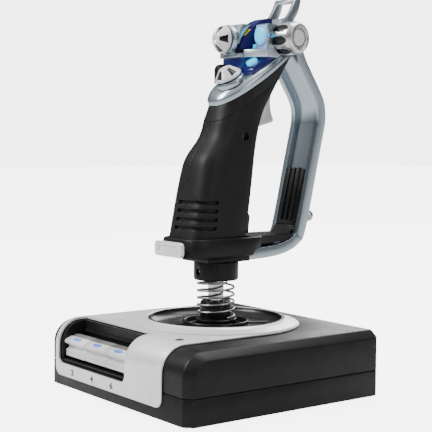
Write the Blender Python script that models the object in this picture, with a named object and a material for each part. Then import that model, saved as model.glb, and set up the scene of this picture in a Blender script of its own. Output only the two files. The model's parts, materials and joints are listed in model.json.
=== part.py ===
"""Desktop flight joystick: a weighted base with three rocker toggles, a sprung two-axis gimbal,
and a twisting handle with a hand guard, a trigger, two thumb hats, a mode dial and fire buttons.

Frame: +Z up, +Y away from the pilot, +X to the pilot's right, origin under the middle of the base.
The driving dimensions below are in millimetres, and every mesh is built in metres.
"""
import math

import bmesh
import bpy
from mathutils import Matrix, Vector

MM = 0.001
GAP = 0.3                      # air left between two pieces that touch

# Base
BASE_X = 95.0                  # half of the base's width
BASE_Y = 92.0                  # half of its depth
BASE_TOP = 52.7
FOOT_H = 2.0                   # rubber feet below the tray
PARTING = 21.7                 # height of the line between tray and cover
CHAMFER = 6.0
FRONT_R = 18.0                 # rounding of the cover's front top edge
WALL = 2.5
PLATE_T = 1.5                  # silver fascia
FASCIA_X = (-83.0, 65.5)
FASCIA_R = 65.5
GLAND_X = -30.0
GLAND_Z = 34.0
TOGGLE_Y = -78.0
TOGGLE_Z = 34.0
BAY_X = (-78.5, 18.5)          # switch bay opening
BAY_Z = 20.5
BAY_Y = -67.5

# Stick axis and gimbal
AXIS_Y = 3.0
PIVOT_Z = 40.0
DISH_R = 52.6
DISH_RISE = 6.0
HOLE_R = 21.5
SHAFT_R = 6.2
SPRING_R = 14.7
WIRE_R = 0.9
COLLAR_R = 17.6
COLLAR_Z = (88.0, 103.0)

# Handle
LEAN = math.radians(13.0)      # lean of the guard and of the hand rest's slide
GUARD_X = 17.0
RAIL = 5.0                     # width of the guard's two edges beside its channel
FLOOR = 3.5                    # thickness of the guard under its channel
GRIP_X = 22.0
GRIP_LOW = 107.4
GRIP_Y = (-26.3, 23.3)         # back and front of the grip at the top of its straight part
GRIP_TOP = 250.0
REST_Z = (107.8, 122.0)
HEAD = (25.0, 248.5)           # (y, z) of the face plate's middle
TILT = math.radians(32.0)
HAT_R = 11.0
HEAD_Y = (-0.5, 73.0)          # ends of the head
RIM = 9.5                      # upright height of the face plate
NECK = 10.0                    # height of the black head shell under it
GUARD_PATH = [(-17, 103.4), (17, 103.4), (20, 103.4), (45, 104.8), (62, 108), (74.5, 114.5), (81.5, 126),
              (94, 180), (99.6, 204), (101.4, 214), (100.5, 226), (95.5, 237), (80, 261), (75.5, 272)]
GUARD_DEPTH = [3.5, 3.5, 8.5, 8.5, 8.5, 8] + [8] * 8
ORIGIN_Y = (101.4 - BASE_Y - 1.8) / 2   # moves the whole model so that its middle is the origin

BLACK = ("black_plastic", (0.035, 0.035, 0.037), 0.5, 0.0)
DARK = ("dark_plastic", (0.02, 0.02, 0.022), 0.4, 0.0)
SILVER = ("silver_paint", (0.72, 0.73, 0.75), 0.35, 0.6)
BLUE_SILVER = ("blue_silver_paint", (0.42, 0.52, 0.58), 0.3, 0.7)
CHROME = ("chrome", (0.8, 0.8, 0.8), 0.12, 1.0)
STEEL = ("steel", (0.6, 0.6, 0.6), 0.3, 1.0)
RUBBER = ("rubber", (0.03, 0.03, 0.03), 0.8, 0.0)
PEARL = ("pearl_plastic", (0.82, 0.82, 0.84), 0.3, 0.1)
CYAN = ("cyan_lens", (0.25, 0.85, 0.95), 0.15, 0.0)
BLUE = ("blue_lens", (0.05, 0.1, 0.6), 0.15, 0.0)
NAVY = ("navy_plastic", (0.04, 0.04, 0.14), 0.25, 0.0)
BOARD = ("circuit_board", (0.02, 0.2, 0.08), 0.5, 0.0)


# ---------------------------------------------------------------- building blocks
def clear_scene():
    for obj in list(bpy.data.objects):
        bpy.data.objects.remove(obj)


def material(spec):
    name, colour, roughness, metallic = spec
    found = bpy.data.materials.get(name)
    if found:
        return found
    made = bpy.data.materials.new(name)
    made.use_nodes = True
    shader = made.node_tree.nodes["Principled BSDF"]
    shader.inputs["Base Color"].default_value = (*colour, 1.0)
    shader.inputs["Roughness"].default_value = roughness
    shader.inputs["Metallic"].default_value = metallic
    return made


def pivot(name, position, parent=None):
    """An empty on a joint's axis; the pieces of the moving body hang from it."""
    empty = bpy.data.objects.new(name, None)
    bpy.context.scene.collection.objects.link(empty)
    empty.location = Vector(position) * MM
    if parent:
        empty.parent = parent
        empty.location = (Vector(position) * MM) - parent.matrix_world.translation
    bpy.context.view_layer.update()
    return empty


def add(name, bm, spec, at=(0, 0, 0), turn=(0, 0, 0), parent=None, smooth=True):
    """Makes the object of a mesh drawn in millimetres about its own origin, and places it."""
    bmesh.ops.remove_doubles(bm, verts=bm.verts, dist=1e-4)
    bmesh.ops.recalc_face_normals(bm, faces=bm.faces)
    bmesh.ops.scale(bm, vec=(MM, MM, MM), verts=bm.verts)
    mesh = bpy.data.meshes.new(name)
    bm.to_mesh(mesh)
    bm.free()
    if smooth:
        mesh.shade_smooth()
        mesh.set_sharp_from_angle(angle=math.radians(35))
    obj = bpy.data.objects.new(name, mesh)
    bpy.context.scene.collection.objects.link(obj)
    obj.data.materials.append(material(spec))
    place = Matrix.Translation(Vector(at) * MM)
    for angle, axis in zip(turn, "XYZ"):
        place = place @ Matrix.Rotation(angle, 4, axis)
    if parent:
        obj.parent = parent
        place = Matrix.Translation(-parent.matrix_world.translation) @ place
    obj.matrix_local = place
    return obj


def cutter(name, bm, **where):
    obj = add(name, bm, DARK, **where)
    obj.hide_render = True
    obj.display_type = "WIRE"
    return obj


def boolean(obj, other, operation="DIFFERENCE"):
    step = obj.modifiers.new(operation.title(), "BOOLEAN")
    step.operation = operation
    step.object = other
    return obj


def loft(loops, closed=False):
    """A solid through loops of equally many points, with flat ends unless it closes on itself."""
    bm = bmesh.new()
    rings = [[bm.verts.new(p) for p in loop] for loop in loops]
    pairs = list(zip(rings, rings[1:] + rings[:1])) if closed else list(zip(rings, rings[1:]))
    for low, high in pairs:
        for k in range(len(low)):
            n = (k + 1) % len(low)
            bm.faces.new((low[k], low[n], high[n], high[k]))
    if not closed:
        bm.faces.new(rings[0][::-1])
        bm.faces.new(rings[-1])
    return bm


def prism(outline, axis, low, high):
    """Outline points extruded along an axis; they are (y, z) for X, (x, z) for Y and (x, y) for Z."""
    def point(p, h):
        return {"X": (h, p[0], p[1]), "Y": (p[0], h, p[1]), "Z": (p[0], p[1], h)}[axis]
    return loft([[point(p, low) for p in outline], [point(p, high) for p in outline]])


def box(x, y, z):
    return prism([(x[0], y[0]), (x[1], y[0]), (x[1], y[1]), (x[0], y[1])], "Z", *z)


def turned(profile, segments=32):
    """A solid of revolution about Z from a closed outline of (radius, height)."""
    bm = bmesh.new()
    rings = []
    for k in range(segments):
        a = 2 * math.pi * k / segments
        rings.append([bm.verts.new((r * math.cos(a), r * math.sin(a), h)) for r, h in profile])
    count = len(profile)
    for k in range(segments):
        here, there = rings[k], rings[(k + 1) % segments]
        for i in range(count):
            j = (i + 1) % count
            if profile[i][0] < 1e-6 and profile[j][0] < 1e-6:
                continue
            if profile[i][0] < 1e-6:
                bm.faces.new((here[i], there[j], here[j]))
            elif profile[j][0] < 1e-6:
                bm.faces.new((here[i], there[i], here[j]))
            else:
                bm.faces.new((here[i], there[i], there[j], here[j]))
    return bm


def rod(radius, low, high, segments=16):
    return turned([(0, low), (radius, low), (radius, high), (0, high)], segments)


def arc(centre, radius, start, end, steps):
    """Points on an arc, with the angles in degrees."""
    angles = [math.radians(start + (end - start) * k / steps) for k in range(steps + 1)]
    return [(centre[0] + radius * math.cos(a), centre[1] + radius * math.sin(a)) for a in angles]


def rounded(x, y, r, steps=3):
    """A rectangle with rounded corners, x and y as (low, high)."""
    corners = [((x[1] - r, y[0] + r), -90), ((x[1] - r, y[1] - r), 0),
               ((x[0] + r, y[1] - r), 90), ((x[0] + r, y[0] + r), 180)]
    return [p for c, a in corners for p in arc(c, r, a, a + 90, steps)]


# ---------------------------------------------------------------- base
def cover_side(inset, low):
    """Side outline of the cover in (y, z), moved inwards by inset except at its open bottom."""
    front = arc((-BASE_Y + FRONT_R, BASE_TOP - FRONT_R), FRONT_R - inset, 180, 90, 6)
    shift = inset * 0.414
    back = [(BASE_Y - CHAMFER - shift, BASE_TOP - inset), (BASE_Y - inset, BASE_TOP - CHAMFER - shift)]
    return [(-BASE_Y + inset, low)] + front + back + [(BASE_Y - inset, low)]


def cover_body(inset, low):
    """The cover's full block: its ends are chamfered by drawing the side outline in."""
    shift = inset * 0.414
    ends = [(-BASE_X + inset, CHAMFER + shift), (-BASE_X + CHAMFER + shift, inset),
            (BASE_X - CHAMFER - shift, inset), (BASE_X - inset, CHAMFER + shift)]
    return loft([[(x, y, z) for y, z in cover_side(d, low)] for x, d in ends])


def tray_body(inset, low, high):
    c = CHAMFER + inset * 0.414
    x, y = BASE_X - inset, BASE_Y - inset
    outline = [(-x + c, -y), (x - c, -y), (x, -y + c), (x, y - c), (x - c, y), (-x + c, y),
               (-x, y - c), (-x, -y + c)]
    return prism(outline, "Z", low, high)


def fascia_path(offset):
    """The plate's section in (y, z): up the front face, over the edge and back past the dish."""
    centre = (-BASE_Y + FRONT_R, BASE_TOP - FRONT_R)
    edge = arc(centre, FRONT_R + offset, 180, 90, 8)
    return [(-BASE_Y - offset, 10.5)] + edge + [(AXIS_Y + 68, BASE_TOP + offset)]


def fascia_plan():
    """Plan of the silver plate: straight sides in front, round about the stick behind."""
    right = arc((0, AXIS_Y), FASCIA_R, 0, 90, 12)
    left = [(FASCIA_X[0] * math.sin(a), AXIS_Y + FASCIA_R * math.cos(a))
            for a in (math.radians(9 * k) for k in range(1, 11))]
    return [(FASCIA_R, -110)] + right + left + [(FASCIA_X[0], -110)]


def fascia():
    section = fascia_path(GAP + PLATE_T) + fascia_path(GAP)[::-1]
    plate = add("fascia_plate", prism(section, "X", FASCIA_X[0] - 3, FASCIA_X[1] + 3), SILVER)
    boolean(plate, cutter("fascia_plan", prism(fascia_plan(), "Z", -5, 90)), "INTERSECT")
    corners = rounded((FASCIA_X[0], FASCIA_X[1]), (10.5, 110), 7)
    boolean(plate, cutter("fascia_corners", prism(corners, "Y", -120, 120)), "INTERSECT")
    window = [(-110, BAY_Z), (BAY_Y - 8, BAY_Z), (BAY_Y, BAY_Z + 8), (BAY_Y, 90), (-110, 90)]
    boolean(plate, cutter("fascia_window", prism(window, "X", *BAY_X)))
    boolean(plate, cutter("fascia_hole", rod(DISH_R + 2, 40, 70, 40), at=(0, AXIS_Y, 0)))


def base_shells():
    tray = add("base_tray", tray_body(0, FOOT_H, PARTING - GAP), BLACK)
    boolean(tray, cutter("tray_inside", tray_body(WALL, FOOT_H + WALL, PARTING + 5)))
    cover = add("base_cover", cover_body(0, PARTING), BLACK)
    boolean(cover, cutter("cover_inside", cover_body(WALL, PARTING - 10)))
    boolean(cover, cutter("dish_opening", rod(DISH_R + 2, 40, 60, 40), at=(0, AXIS_Y, 0)))
    opening = box((BAY_X[0] + 1, BAY_X[1] - 1), (-110, BAY_Y - 1), (BAY_Z + 2, 90))
    boolean(cover, cutter("bay_opening", opening))
    gland_turn = (-math.pi / 2, 0, 0)
    hole = rod(5.4, -10, 10, 20)
    boolean(cover, cutter("gland_hole", hole, at=(GLAND_X, BASE_Y, GLAND_Z), turn=gland_turn))
    profile = [(3.3, -8), (5.1, -8), (5.1, GAP), (7.5, GAP), (6.5, 3), (5.2, 8), (3.3, 8)]
    add("cable_gland", turned(profile, 20), RUBBER, at=(GLAND_X, BASE_Y, GLAND_Z), turn=gland_turn)
    corners = [("front_left", -1, -1), ("front_right", 1, -1), ("rear_left", -1, 1), ("rear_right", 1, 1)]
    for name, sx, sy in corners:
        add("foot_" + name, rod(9, 0, FOOT_H - GAP, 20), RUBBER, at=(sx * 78, sy * 75, 0))
        screw = [(0, 0), (3.2, 0), (3.2, 2), (1.5, 2), (1.5, 9), (0, 9)]
        spot = (sx * 84, sy * 60, FOOT_H - 1.5 + GAP)
        seat = rod(3.5, -6, 2.3, 16)
        boolean(tray, cutter("seat_" + name, seat, at=spot))
        boolean(tray, cutter("bore_" + name, rod(1.8, -6, 9, 12), at=spot))
        add("base_screw_" + name, turned(screw, 12), STEEL, at=spot)
    boolean(tray, cutter("board_stand", box((-50, 50), (66, 80), (FOOT_H + 1, 12 - GAP))), "UNION")
    add("main_board", box((-60, 60), (62, 84), (12, 13.6)), BOARD)


def dish_parts():
    low = BASE_TOP + GAP + PLATE_T + GAP
    top = BASE_TOP + DISH_RISE
    ring = [(DISH_R + 0.9, low), (64.5, low), (64.5, low + 0.5), (DISH_R + 2.2, top), (DISH_R + 0.9, top)]
    add("dish_bezel", turned(ring, 48), SILVER, at=(0, AXIS_Y, 0))
    floor = BASE_TOP - 0.5
    dish = [(HOLE_R, floor - 1.5), (DISH_R + 0.5, floor - 1.5), (DISH_R + 0.5, top), (DISH_R - 1, top),
            (DISH_R - 5.5, floor), (25.5, floor), (25, floor + 4), (22.5, floor + 4), (HOLE_R, floor + 3)]
    add("dish", turned(dish, 48), DARK, at=(0, AXIS_Y, 0))


def bay_parts():
    x0, x1 = BAY_X[0] + 1.3, BAY_X[1] - 1.3
    y0, y1 = -BASE_Y + 0.5, BAY_Y - 1.5
    z0, z1 = BAY_Z + 2.3, BASE_TOP - 0.4
    bay = add("switch_bay", box((x0, x1), (y0, y1), (z0, z1)), DARK)
    hollow = [(-110, z0 + 2), (y1 - 2, z0 + 2), (y1 - 2, 90), (-110, 90)]
    boolean(bay, cutter("bay_hollow", prism(hollow, "X", x0 + 2, x1 - 2)))
    edge = arc((-BASE_Y + FRONT_R, BASE_TOP - FRONT_R), FRONT_R - 0.5, 180, 90, 8)
    rim = [(-120, z0 - 5)] + [(-BASE_Y + 0.5, z0 - 5)] + edge + [(-BASE_Y + FRONT_R, 90), (-120, 90)]
    boolean(bay, cutter("bay_front", prism(rim, "X", -120, 120)))
    boolean(bay, cutter("axle_bore", rod(1.4, x0 - 1, x1 + 1, 12), at=(0, TOGGLE_Y, TOGGLE_Z),
                        turn=(0, math.pi / 2, 0)))
    add("toggle_axle", rod(1.2, x0 + 0.4, x1 - 0.4, 12), STEEL, at=(0, TOGGLE_Y, TOGGLE_Z),
        turn=(0, math.pi / 2, 0))
    pitch = (x1 - x0 - 5) / 3
    for k in range(3):
        middle = x0 + 2.5 + pitch * (k + 0.5)
        half = pitch / 2 - 0.4
        centre = (middle, TOGGLE_Y, TOGGLE_Z)
        body = pivot("toggle_%d_pivot" % (k + 1), centre)
        rocker = add("toggle_%d" % (k + 1), prism(toggle_outline(), "X", -half, half), PEARL,
                     at=centre, parent=body)
        bore = rod(1.5, -20, 20, 12)
        boolean(rocker, cutter("toggle_bore_%d" % (k + 1), bore, at=centre, turn=(0, math.pi / 2, 0)))


def toggle_outline():
    """Side of a rocker about its axle: a hub, a lower pad, a waist and an upper lip."""
    hub = arc((0, 0), 5, -70, 70, 6)
    return hub + [(-3, 10.5), (-8.5, 9), (-10, 6), (-7.5, 2.5), (-10, 0), (-9.5, -3), (-3.5, -5)]


# ---------------------------------------------------------------- gimbal
def gimbal_parts(pitch, roll):
    centre = (0, AXIS_Y, PIVOT_Z)
    floor = FOOT_H + WALL + GAP
    frame = add("gimbal_frame", box((-32, 32), (AXIS_Y - 16, AXIS_Y + 16), (floor, floor + 4)), DARK)
    for side in (-1, 1):
        x = sorted((side * 23.5, side * 30))
        post = cutter("post_%d" % side, box(x, (AXIS_Y - 6, AXIS_Y + 6), (floor + 2, PIVOT_Z + 7)))
        boolean(frame, post, "UNION")
    across = (0, math.pi / 2, 0)
    boolean(frame, cutter("pitch_bores", rod(2.3, -40, 40), at=centre, turn=across))
    for name, low, high in (("left", -30.5, -16), ("right", 16, 30.5)):
        add("pitch_pin_" + name, rod(2, low, high), STEEL, at=centre, turn=across)
    ring = turned([(14.5, -4), (20.5, -4), (20.5, 4), (14.5, 4)], 32)
    ring = add("gimbal_ring", ring, DARK, at=centre, parent=pitch)
    along = (-math.pi / 2, 0, 0)
    boolean(ring, cutter("ring_pitch_bores", rod(2.3, -40, 40), at=centre, turn=across))
    boolean(ring, cutter("ring_roll_bores", rod(2.3, -40, 40), at=centre, turn=along))
    for name, low, high in (("front", 9.5, 20), ("rear", -20, -9.5)):
        add("roll_pin_" + name, rod(2, low, high), STEEL, at=centre, turn=along, parent=pitch)
    seat = [(6.6, -9), (12, -9), (12, 8), (12.9, 9), (12.9, 15.2), (16, 15.2), (16, 17.5),
            (12.4, 17.5), (12.4, 30), (11.2, 31.5), (6.6, 31.5)]
    yoke = add("gimbal_yoke", turned(seat, 32), DARK, at=centre, parent=roll)
    boolean(yoke, cutter("yoke_bores", rod(2.3, -40, 40), at=centre, turn=along))
    boolean(yoke, cutter("shaft_bore", rod(6.5, -40, 60, 24), at=centre))
    add("centring_spring", spring_mesh(), CHROME, at=(0, AXIS_Y, 0), parent=roll)
    add("pitch_sensor", box((30.9, 38), (AXIS_Y - 6, AXIS_Y + 6), (PIVOT_Z - 6, PIVOT_Z + 6)), BOARD)


def spring_mesh():
    """A coil of round wire on the seat's flange, with its ends cut flat by the mesh itself."""
    low, high = PIVOT_Z + 17.5 + GAP + WIRE_R, COLLAR_Z[0] - GAP - WIRE_R
    turns, steps, sides = 5, 20, 6
    loops = []
    for k in range(turns * steps + 1):
        a = 2 * math.pi * k / steps
        z = low + (high - low) * k / (turns * steps)
        loop = []
        for j in range(sides):
            b = 2 * math.pi * j / sides
            r = SPRING_R - WIRE_R + WIRE_R * math.cos(b)
            loop.append((r * math.cos(a), r * math.sin(a), z + WIRE_R * math.sin(b)))
        loops.append(loop)
    return loft(loops)


# ---------------------------------------------------------------- handle
def lean(z):
    return math.tan(LEAN) * (z - 148)


def section(y0, y1, half_x, z, square=0.5, count=28):
    """A rounded horizontal section between y0 and y1; square 1 is an ellipse and 0 a rectangle."""
    loop = []
    for k in range(count):
        a = 2 * math.pi * (k + 0.5) / count
        c, s = math.cos(a), math.sin(a)
        x = half_x * math.copysign(abs(c) ** square, c)
        y = (y0 + y1) / 2 + (y1 - y0) / 2 * math.copysign(abs(s) ** square, s)
        loop.append((x, y, z))
    return loop


def grip_sections(inset):
    """Sections of the grip from its foot to inside the head: straight and leaning below, then waisted."""
    low = GRIP_LOW + (4 if inset else 0)
    rows = [(low, GRIP_Y[0] + lean(low), GRIP_Y[1] + lean(low), GRIP_X, 0.35),
            (148, *GRIP_Y, GRIP_X, 0.35), (160, -23.7, 25.7, 21.7, 0.4), (173, -22, 28.2, 21, 0.48),
            (180, -22.2, 31.8, 20.4, 0.6), (185, -20, 33.4, 19.9, 0.63), (191, -14.6, 34.6, 19, 0.66),
            (197, -9, 35.8, 18.4, 0.67), (203, -6.7, 36.9, 18, 0.67), (212, -3.8, 39.5, 18, 0.68),
            (222, -0.6, 43.5, 18.3, 0.7), (236, 1, 52, 18.5, 0.7), (GRIP_TOP, 2, 62, 18.5, 0.7)]
    return [section(y0 + inset, y1 - inset, a - inset, z, q) for z, y0, y1, a, q in rows]


def head_plane(y):
    """Height of the face plate's top above a place on the stick's middle line."""
    return HEAD[1] + (y - HEAD[0]) * math.tan(TILT)


def head_plan(inset, count=36):
    """Teardrop plan of the head as (x, y): wide over the thumb and narrower in front."""
    points = []
    for k in range(count):
        a = 2 * math.pi * (k + 0.5) / count
        c, s = math.cos(a), math.sin(a)
        width = 21.5 - 4.5 * (s + 1) / 2
        side = math.copysign(abs(c) ** 0.75, c) * (width - inset)
        middle, half = (HEAD_Y[0] + HEAD_Y[1]) / 2, (HEAD_Y[1] - HEAD_Y[0]) / 2
        points.append((side, middle + s * (half - inset)))
    return points


def head_loft(levels):
    """A block with upright walls between planes that are parallel to the face plate's top."""
    return loft([[(x, y, head_plane(y) + rise) for x, y in head_plan(inset)] for rise, inset in levels])


def grip_parts(stick):
    room = head_loft([(-RIM - NECK - GAP, -20), (90, -20)])
    shoulder = cutter("grip_shoulder", room)
    core = cutter("grip_core", loft(grip_sections(WALL)))
    pocket = box((-5.8, 5.8), (26, 90), (203, 260))
    pocket = cutter("trigger_pocket", pocket)
    shaft_bore = cutter("grip_shaft_bore", rod(6.5, 90, 130, 24), at=(0, AXIS_Y, 0))
    lever = cutter("pinkie_pocket", box((-13, 13), (10, 60), (GRIP_LOW + 16, GRIP_LOW + 36)))
    for name, low, high in (("left", -40, -GAP / 2), ("right", GAP / 2, 40)):
        shell = add("grip_shell_" + name, loft(grip_sections(0)), BLACK, parent=stick)
        half = cutter("grip_half_" + name, box((low, high), (-90, 120), (90, 280)))
        boolean(shell, half, "INTERSECT")
        for other in (shoulder, core, pocket, shaft_bore, lever):
            boolean(shell, other)
        side = -1 if name == "left" else 1
        for k in range(4):
            z = 128.5 + 6.5 * k
            slot = box(sorted((side * 20, side * 40)), (-40, -11 + lean(z) / 2), (z, z + 3))
            boolean(shell, cutter("slot_%s_%d" % (name, k), slot))
    right = bpy.data.objects["grip_shell_right"]
    spot = (0, 17, 200)
    boolean(right, cutter("screw_hole", rod(3.2, 16, 40), at=spot, turn=(0, math.pi / 2, 0)))
    boolean(right, cutter("screw_bore", rod(1.8, 0, 40), at=spot, turn=(0, math.pi / 2, 0)))
    head = [(0, 1), (1.5, 1), (1.5, 12.5), (2.8, 12.5), (2.8, 14.5), (0, 14.5)]
    add("grip_screw", turned(head, 12), STEEL, at=spot, turn=(0, math.pi / 2, 0), parent=stick)
    add("shaft", rod(SHAFT_R, PIVOT_Z - 12, 124, 24), CHROME, at=(0, AXIS_Y, 0), parent=stick)
    collar = [(6.5, COLLAR_Z[0]), (COLLAR_R - 1, COLLAR_Z[0]), (COLLAR_R, COLLAR_Z[0] + 1),
              (COLLAR_R, COLLAR_Z[1] - 1), (COLLAR_R - 1, COLLAR_Z[1]), (6.5, COLLAR_Z[1])]
    collar = add("collar", turned(collar, 32), BLACK, at=(0, AXIS_Y, 0), parent=stick)
    spot = (0, AXIS_Y, 95)
    boolean(collar, cutter("collar_bore", rod(2.6, 6, 30, 12), at=spot, turn=(math.pi / 2, 0, 0)))
    add("collar_screw", rod(2.2, 6.6, COLLAR_R - 2, 12), STEEL, at=spot, turn=(math.pi / 2, 0, 0),
        parent=stick)


def offset_path(path, distance):
    """The path moved sideways towards the grip, mitred at its corners."""
    made = []
    for k, p in enumerate(path):
        d = distance[k] if isinstance(distance, list) else distance
        before = Vector(p) - Vector(path[max(k - 1, 0)])
        after = Vector(path[min(k + 1, len(path) - 1)]) - Vector(p)
        before = before.normalized() if before.length else after.normalized()
        after = after.normalized() if after.length else before
        along = (before + after).normalized()
        side = Vector((-along.y, along.x))
        made.append(tuple(Vector(p) + side * d / max(along.dot(before), 0.5)))
    return made


def guard_mesh():
    """The guard's channel section carried along its path."""
    outer = GUARD_PATH
    inner = offset_path(GUARD_PATH, GUARD_DEPTH)
    floor = offset_path(GUARD_PATH, [min(FLOOR, d - 0.4) for d in GUARD_DEPTH])
    w, c = GUARD_X, GUARD_X - RAIL
    loops = []
    for o, i, f in zip(outer, inner, floor):
        loops.append([(-w, *o), (w, *o), (w, *i), (c, *i), (c, *f), (-c, *f), (-c, *i), (-w, *i)])
    return loft(loops)


def guard_parts(stick):
    guard = add("guard", guard_mesh(), BLUE_SILVER, parent=stick)
    boolean(guard, cutter("guard_shaft_hole", rod(6.6, 90, 115, 24), at=(0, AXIS_Y, 0)))
    room = head_loft([(-RIM - NECK - 2, 2.5), (-RIM - NECK + 4, -0.5), (-RIM, -1.5), (8, -1.5)])
    boolean(guard, cutter("guard_head_room", room))
    knob_at = (9, 84.2, 137)
    out = (-math.pi / 2 - LEAN, 0, 0)
    boolean(guard, cutter("knob_hole", rod(2.6, -12, 20, 12), at=knob_at, turn=out))
    knob = pivot("lock_knob_pivot", knob_at, parent=stick)
    dome = [(0, -3), (2.3, -3), (2.3, 0.4), (3.5, 0.4), (3.5, 3), (5, 3), (5, 6), (4, 8.6), (2, 10), (0, 10.3)]
    add("lock_knob", turned(dome, 20), CHROME, at=knob_at, turn=out, parent=knob)


def rest_parts(stick):
    rest = pivot("hand_rest_pivot", (0, 0, REST_Z[0]), parent=stick)
    z0, z1 = REST_Z
    slope = math.tan(LEAN)
    outer = [section(-37.3 + slope * (z - 115), 44 + slope * (z - 115), 25.3, z, 0.45) for z in (z0, z1)]
    hole = [section(GRIP_Y[0] - 0.5 + lean(z), 38 + lean(z), GRIP_X + 1, z, 0.33) for z in (z0 - 10, z1 + 10)]
    shelf = add("hand_rest", loft(outer), BLACK, parent=rest)
    tongue = prism([(30, z0 + 7), (58, z0 + 9.2), (69, z0 + 11.6), (69, z1), (30, z1)], "X", -16.2, 16.2)
    boolean(shelf, cutter("rest_tongue", tongue), "UNION")
    under = GUARD_PATH[:7] + offset_path(GUARD_PATH, [d + 0.5 for d in GUARD_DEPTH])[:7][::-1]
    boolean(shelf, cutter("rest_clearance", prism(under, "X", -GUARD_X - 1, GUARD_X + 1)))
    back = offset_path(GUARD_PATH, FLOOR + 0.6)[5:8]
    face = offset_path(GUARD_PATH, 8.4)[5:8]
    top = 173.0
    cut = (top - back[1][1]) / (back[2][1] - back[1][1])
    back[2] = tuple(Vector(back[1]).lerp(Vector(back[2]), cut))
    face[2] = tuple(Vector(face[1]).lerp(Vector(face[2]), cut))
    upright = prism([(60, z1 - 3.5)] + back + face[::-1][:2] + [(68, z1), (60, z1)], "X", -11.5, 11.5)
    boolean(shelf, cutter("rest_upright", upright), "UNION")
    boolean(shelf, cutter("rest_hole", loft(hole)))
    boolean(shelf, cutter("tab_pocket", box((-16.4, 16.4), (-70, -34.8), (108.6, 119.4))))
    tab = pivot("release_tab_pivot", (0, -40, 114), parent=rest)
    outline = rounded((-16, 16), (109, 119), 2.5)
    add("release_tab", prism(outline, "Y", -42, -37.6), SILVER, parent=tab)


def head_parts(stick):
    shell = head_loft([(-RIM - NECK, 4), (-RIM - NECK + 4, 1.5), (-RIM - GAP, 0)])
    shell = add("head_shell", shell, BLACK, parent=stick)
    inside = head_loft([(-RIM - NECK + 2.5, 6), (-RIM - NECK + 5, 4), (-RIM + 5, 2.5)])
    boolean(shell, cutter("head_inside", inside))
    boolean(shell, cutter("head_trigger_slot", box((-5.8, 5.8), (36, 68), (215, 258))))
    plate = head_loft([(-RIM, 0), (-RIM + 4, -1), (-2, 0.5), (0, 2.5)])
    plate = add("face_plate", plate, BLUE_SILVER, parent=stick)
    boolean(plate, cutter("plate_inside", head_loft([(-RIM - 5, 2.5), (-2.5, 2.5)])))
    board = head_loft([(-RIM + 0.5, 5), (-RIM + 2, 5)])
    add("head_board", board, BOARD, parent=stick)
    trigger_parts(stick)
    upper_parts(stick)


def trigger_parts(stick):
    hinge = (0, 58, 250)
    body = pivot("trigger_pivot", hinge, parent=stick)
    outline = [(65, 249), (59.5, 244), (54.5, 237), (52.3, 229), (53, 221), (56, 213), (54, 211.4),
               (42, 208.5), (40.5, 213), (43, 226), (48, 240), (53, 252), (58, 254.5), (63, 253)]
    trigger = add("trigger", prism(outline, "X", -5.2, 5.2), PEARL, parent=body)
    across = (0, math.pi / 2, 0)
    boolean(trigger, cutter("trigger_bore", rod(1.6, -20, 20, 12), at=hinge, turn=across))
    add("trigger_pin", rod(1.3, -8.5, 8.5, 12), STEEL, at=hinge, turn=across, parent=stick)
    bore = cutter("pin_bore", rod(1.5, -9, 9, 12), at=hinge, turn=across)
    for name in ("head_shell", "grip_shell_left", "grip_shell_right"):
        boolean(bpy.data.objects[name], bore)
    hinge = (0, 19.5, 138)
    body = pivot("pinkie_pivot", hinge, parent=stick)
    outline = [(17.2, 141), (25, 140.5), (27, 138), (25.5, 125), (24.3, 124.2), (19.5, 124.2), (17.2, 126)]
    lever = add("pinkie_lever", prism(outline, "X", -12.6, 12.6), DARK, parent=body)
    boolean(lever, cutter("lever_bore", rod(1.3, -20, 20, 12), at=hinge, turn=across))
    add("pinkie_pin", rod(1.1, -15, 15, 12), STEEL, at=hinge, turn=across, parent=stick)
    for name in ("left", "right"):
        grip = bpy.data.objects["grip_shell_" + name]
        bore = rod(1.3, -15.4, 15.4, 12)
        boolean(grip, cutter("pinkie_bore_" + name, bore, at=hinge, turn=across))


def hat(name, centre, turn, stick):
    """A two-way thumb hat: a cap on a rocking ring, over a fixed socket."""
    socket = [(4, 0), (HAT_R + 1.5, 0), (HAT_R + 1.5, 2.5), (HAT_R, 4), (HAT_R - 1.5, 4),
              (HAT_R - 3, 2.2), (4, 2.2)]
    add(name + "_socket", turned(socket, 28), SILVER, at=centre, turn=turn, parent=stick)
    up = pivot(name + "_up_pivot", centre, parent=stick)
    side = pivot(name + "_side_pivot", centre, parent=up)
    ring = [(1.4, 3.2), (3.4, 3.2), (3.4, 4.6), (1.4, 4.6)]
    add(name + "_ring", turned(ring, 16), STEEL, at=centre, turn=turn, parent=up)
    cap = [(0, 5.4), (HAT_R - 1, 5.4), (HAT_R, 6.2), (HAT_R - 1.2, 8.5), (HAT_R - 4.5, 12),
           (4, 13.6), (2.5, 13), (0, 12.8)]
    add(name + "_cap", turned(cap, 28), PEARL, at=centre, turn=turn, parent=side)


def button(name, centre, turn, radius, height, spec, stick):
    """A round push button that slides along its own Z; its origin is on the face it stands on."""
    body = pivot(name + "_pivot", centre, parent=stick)
    profile = [(0, -3), (radius, -3), (radius, height - 0.8), (radius - 0.8, height), (0, height)]
    add(name, turned(profile, 24), spec, at=centre, turn=turn, parent=body)


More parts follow.
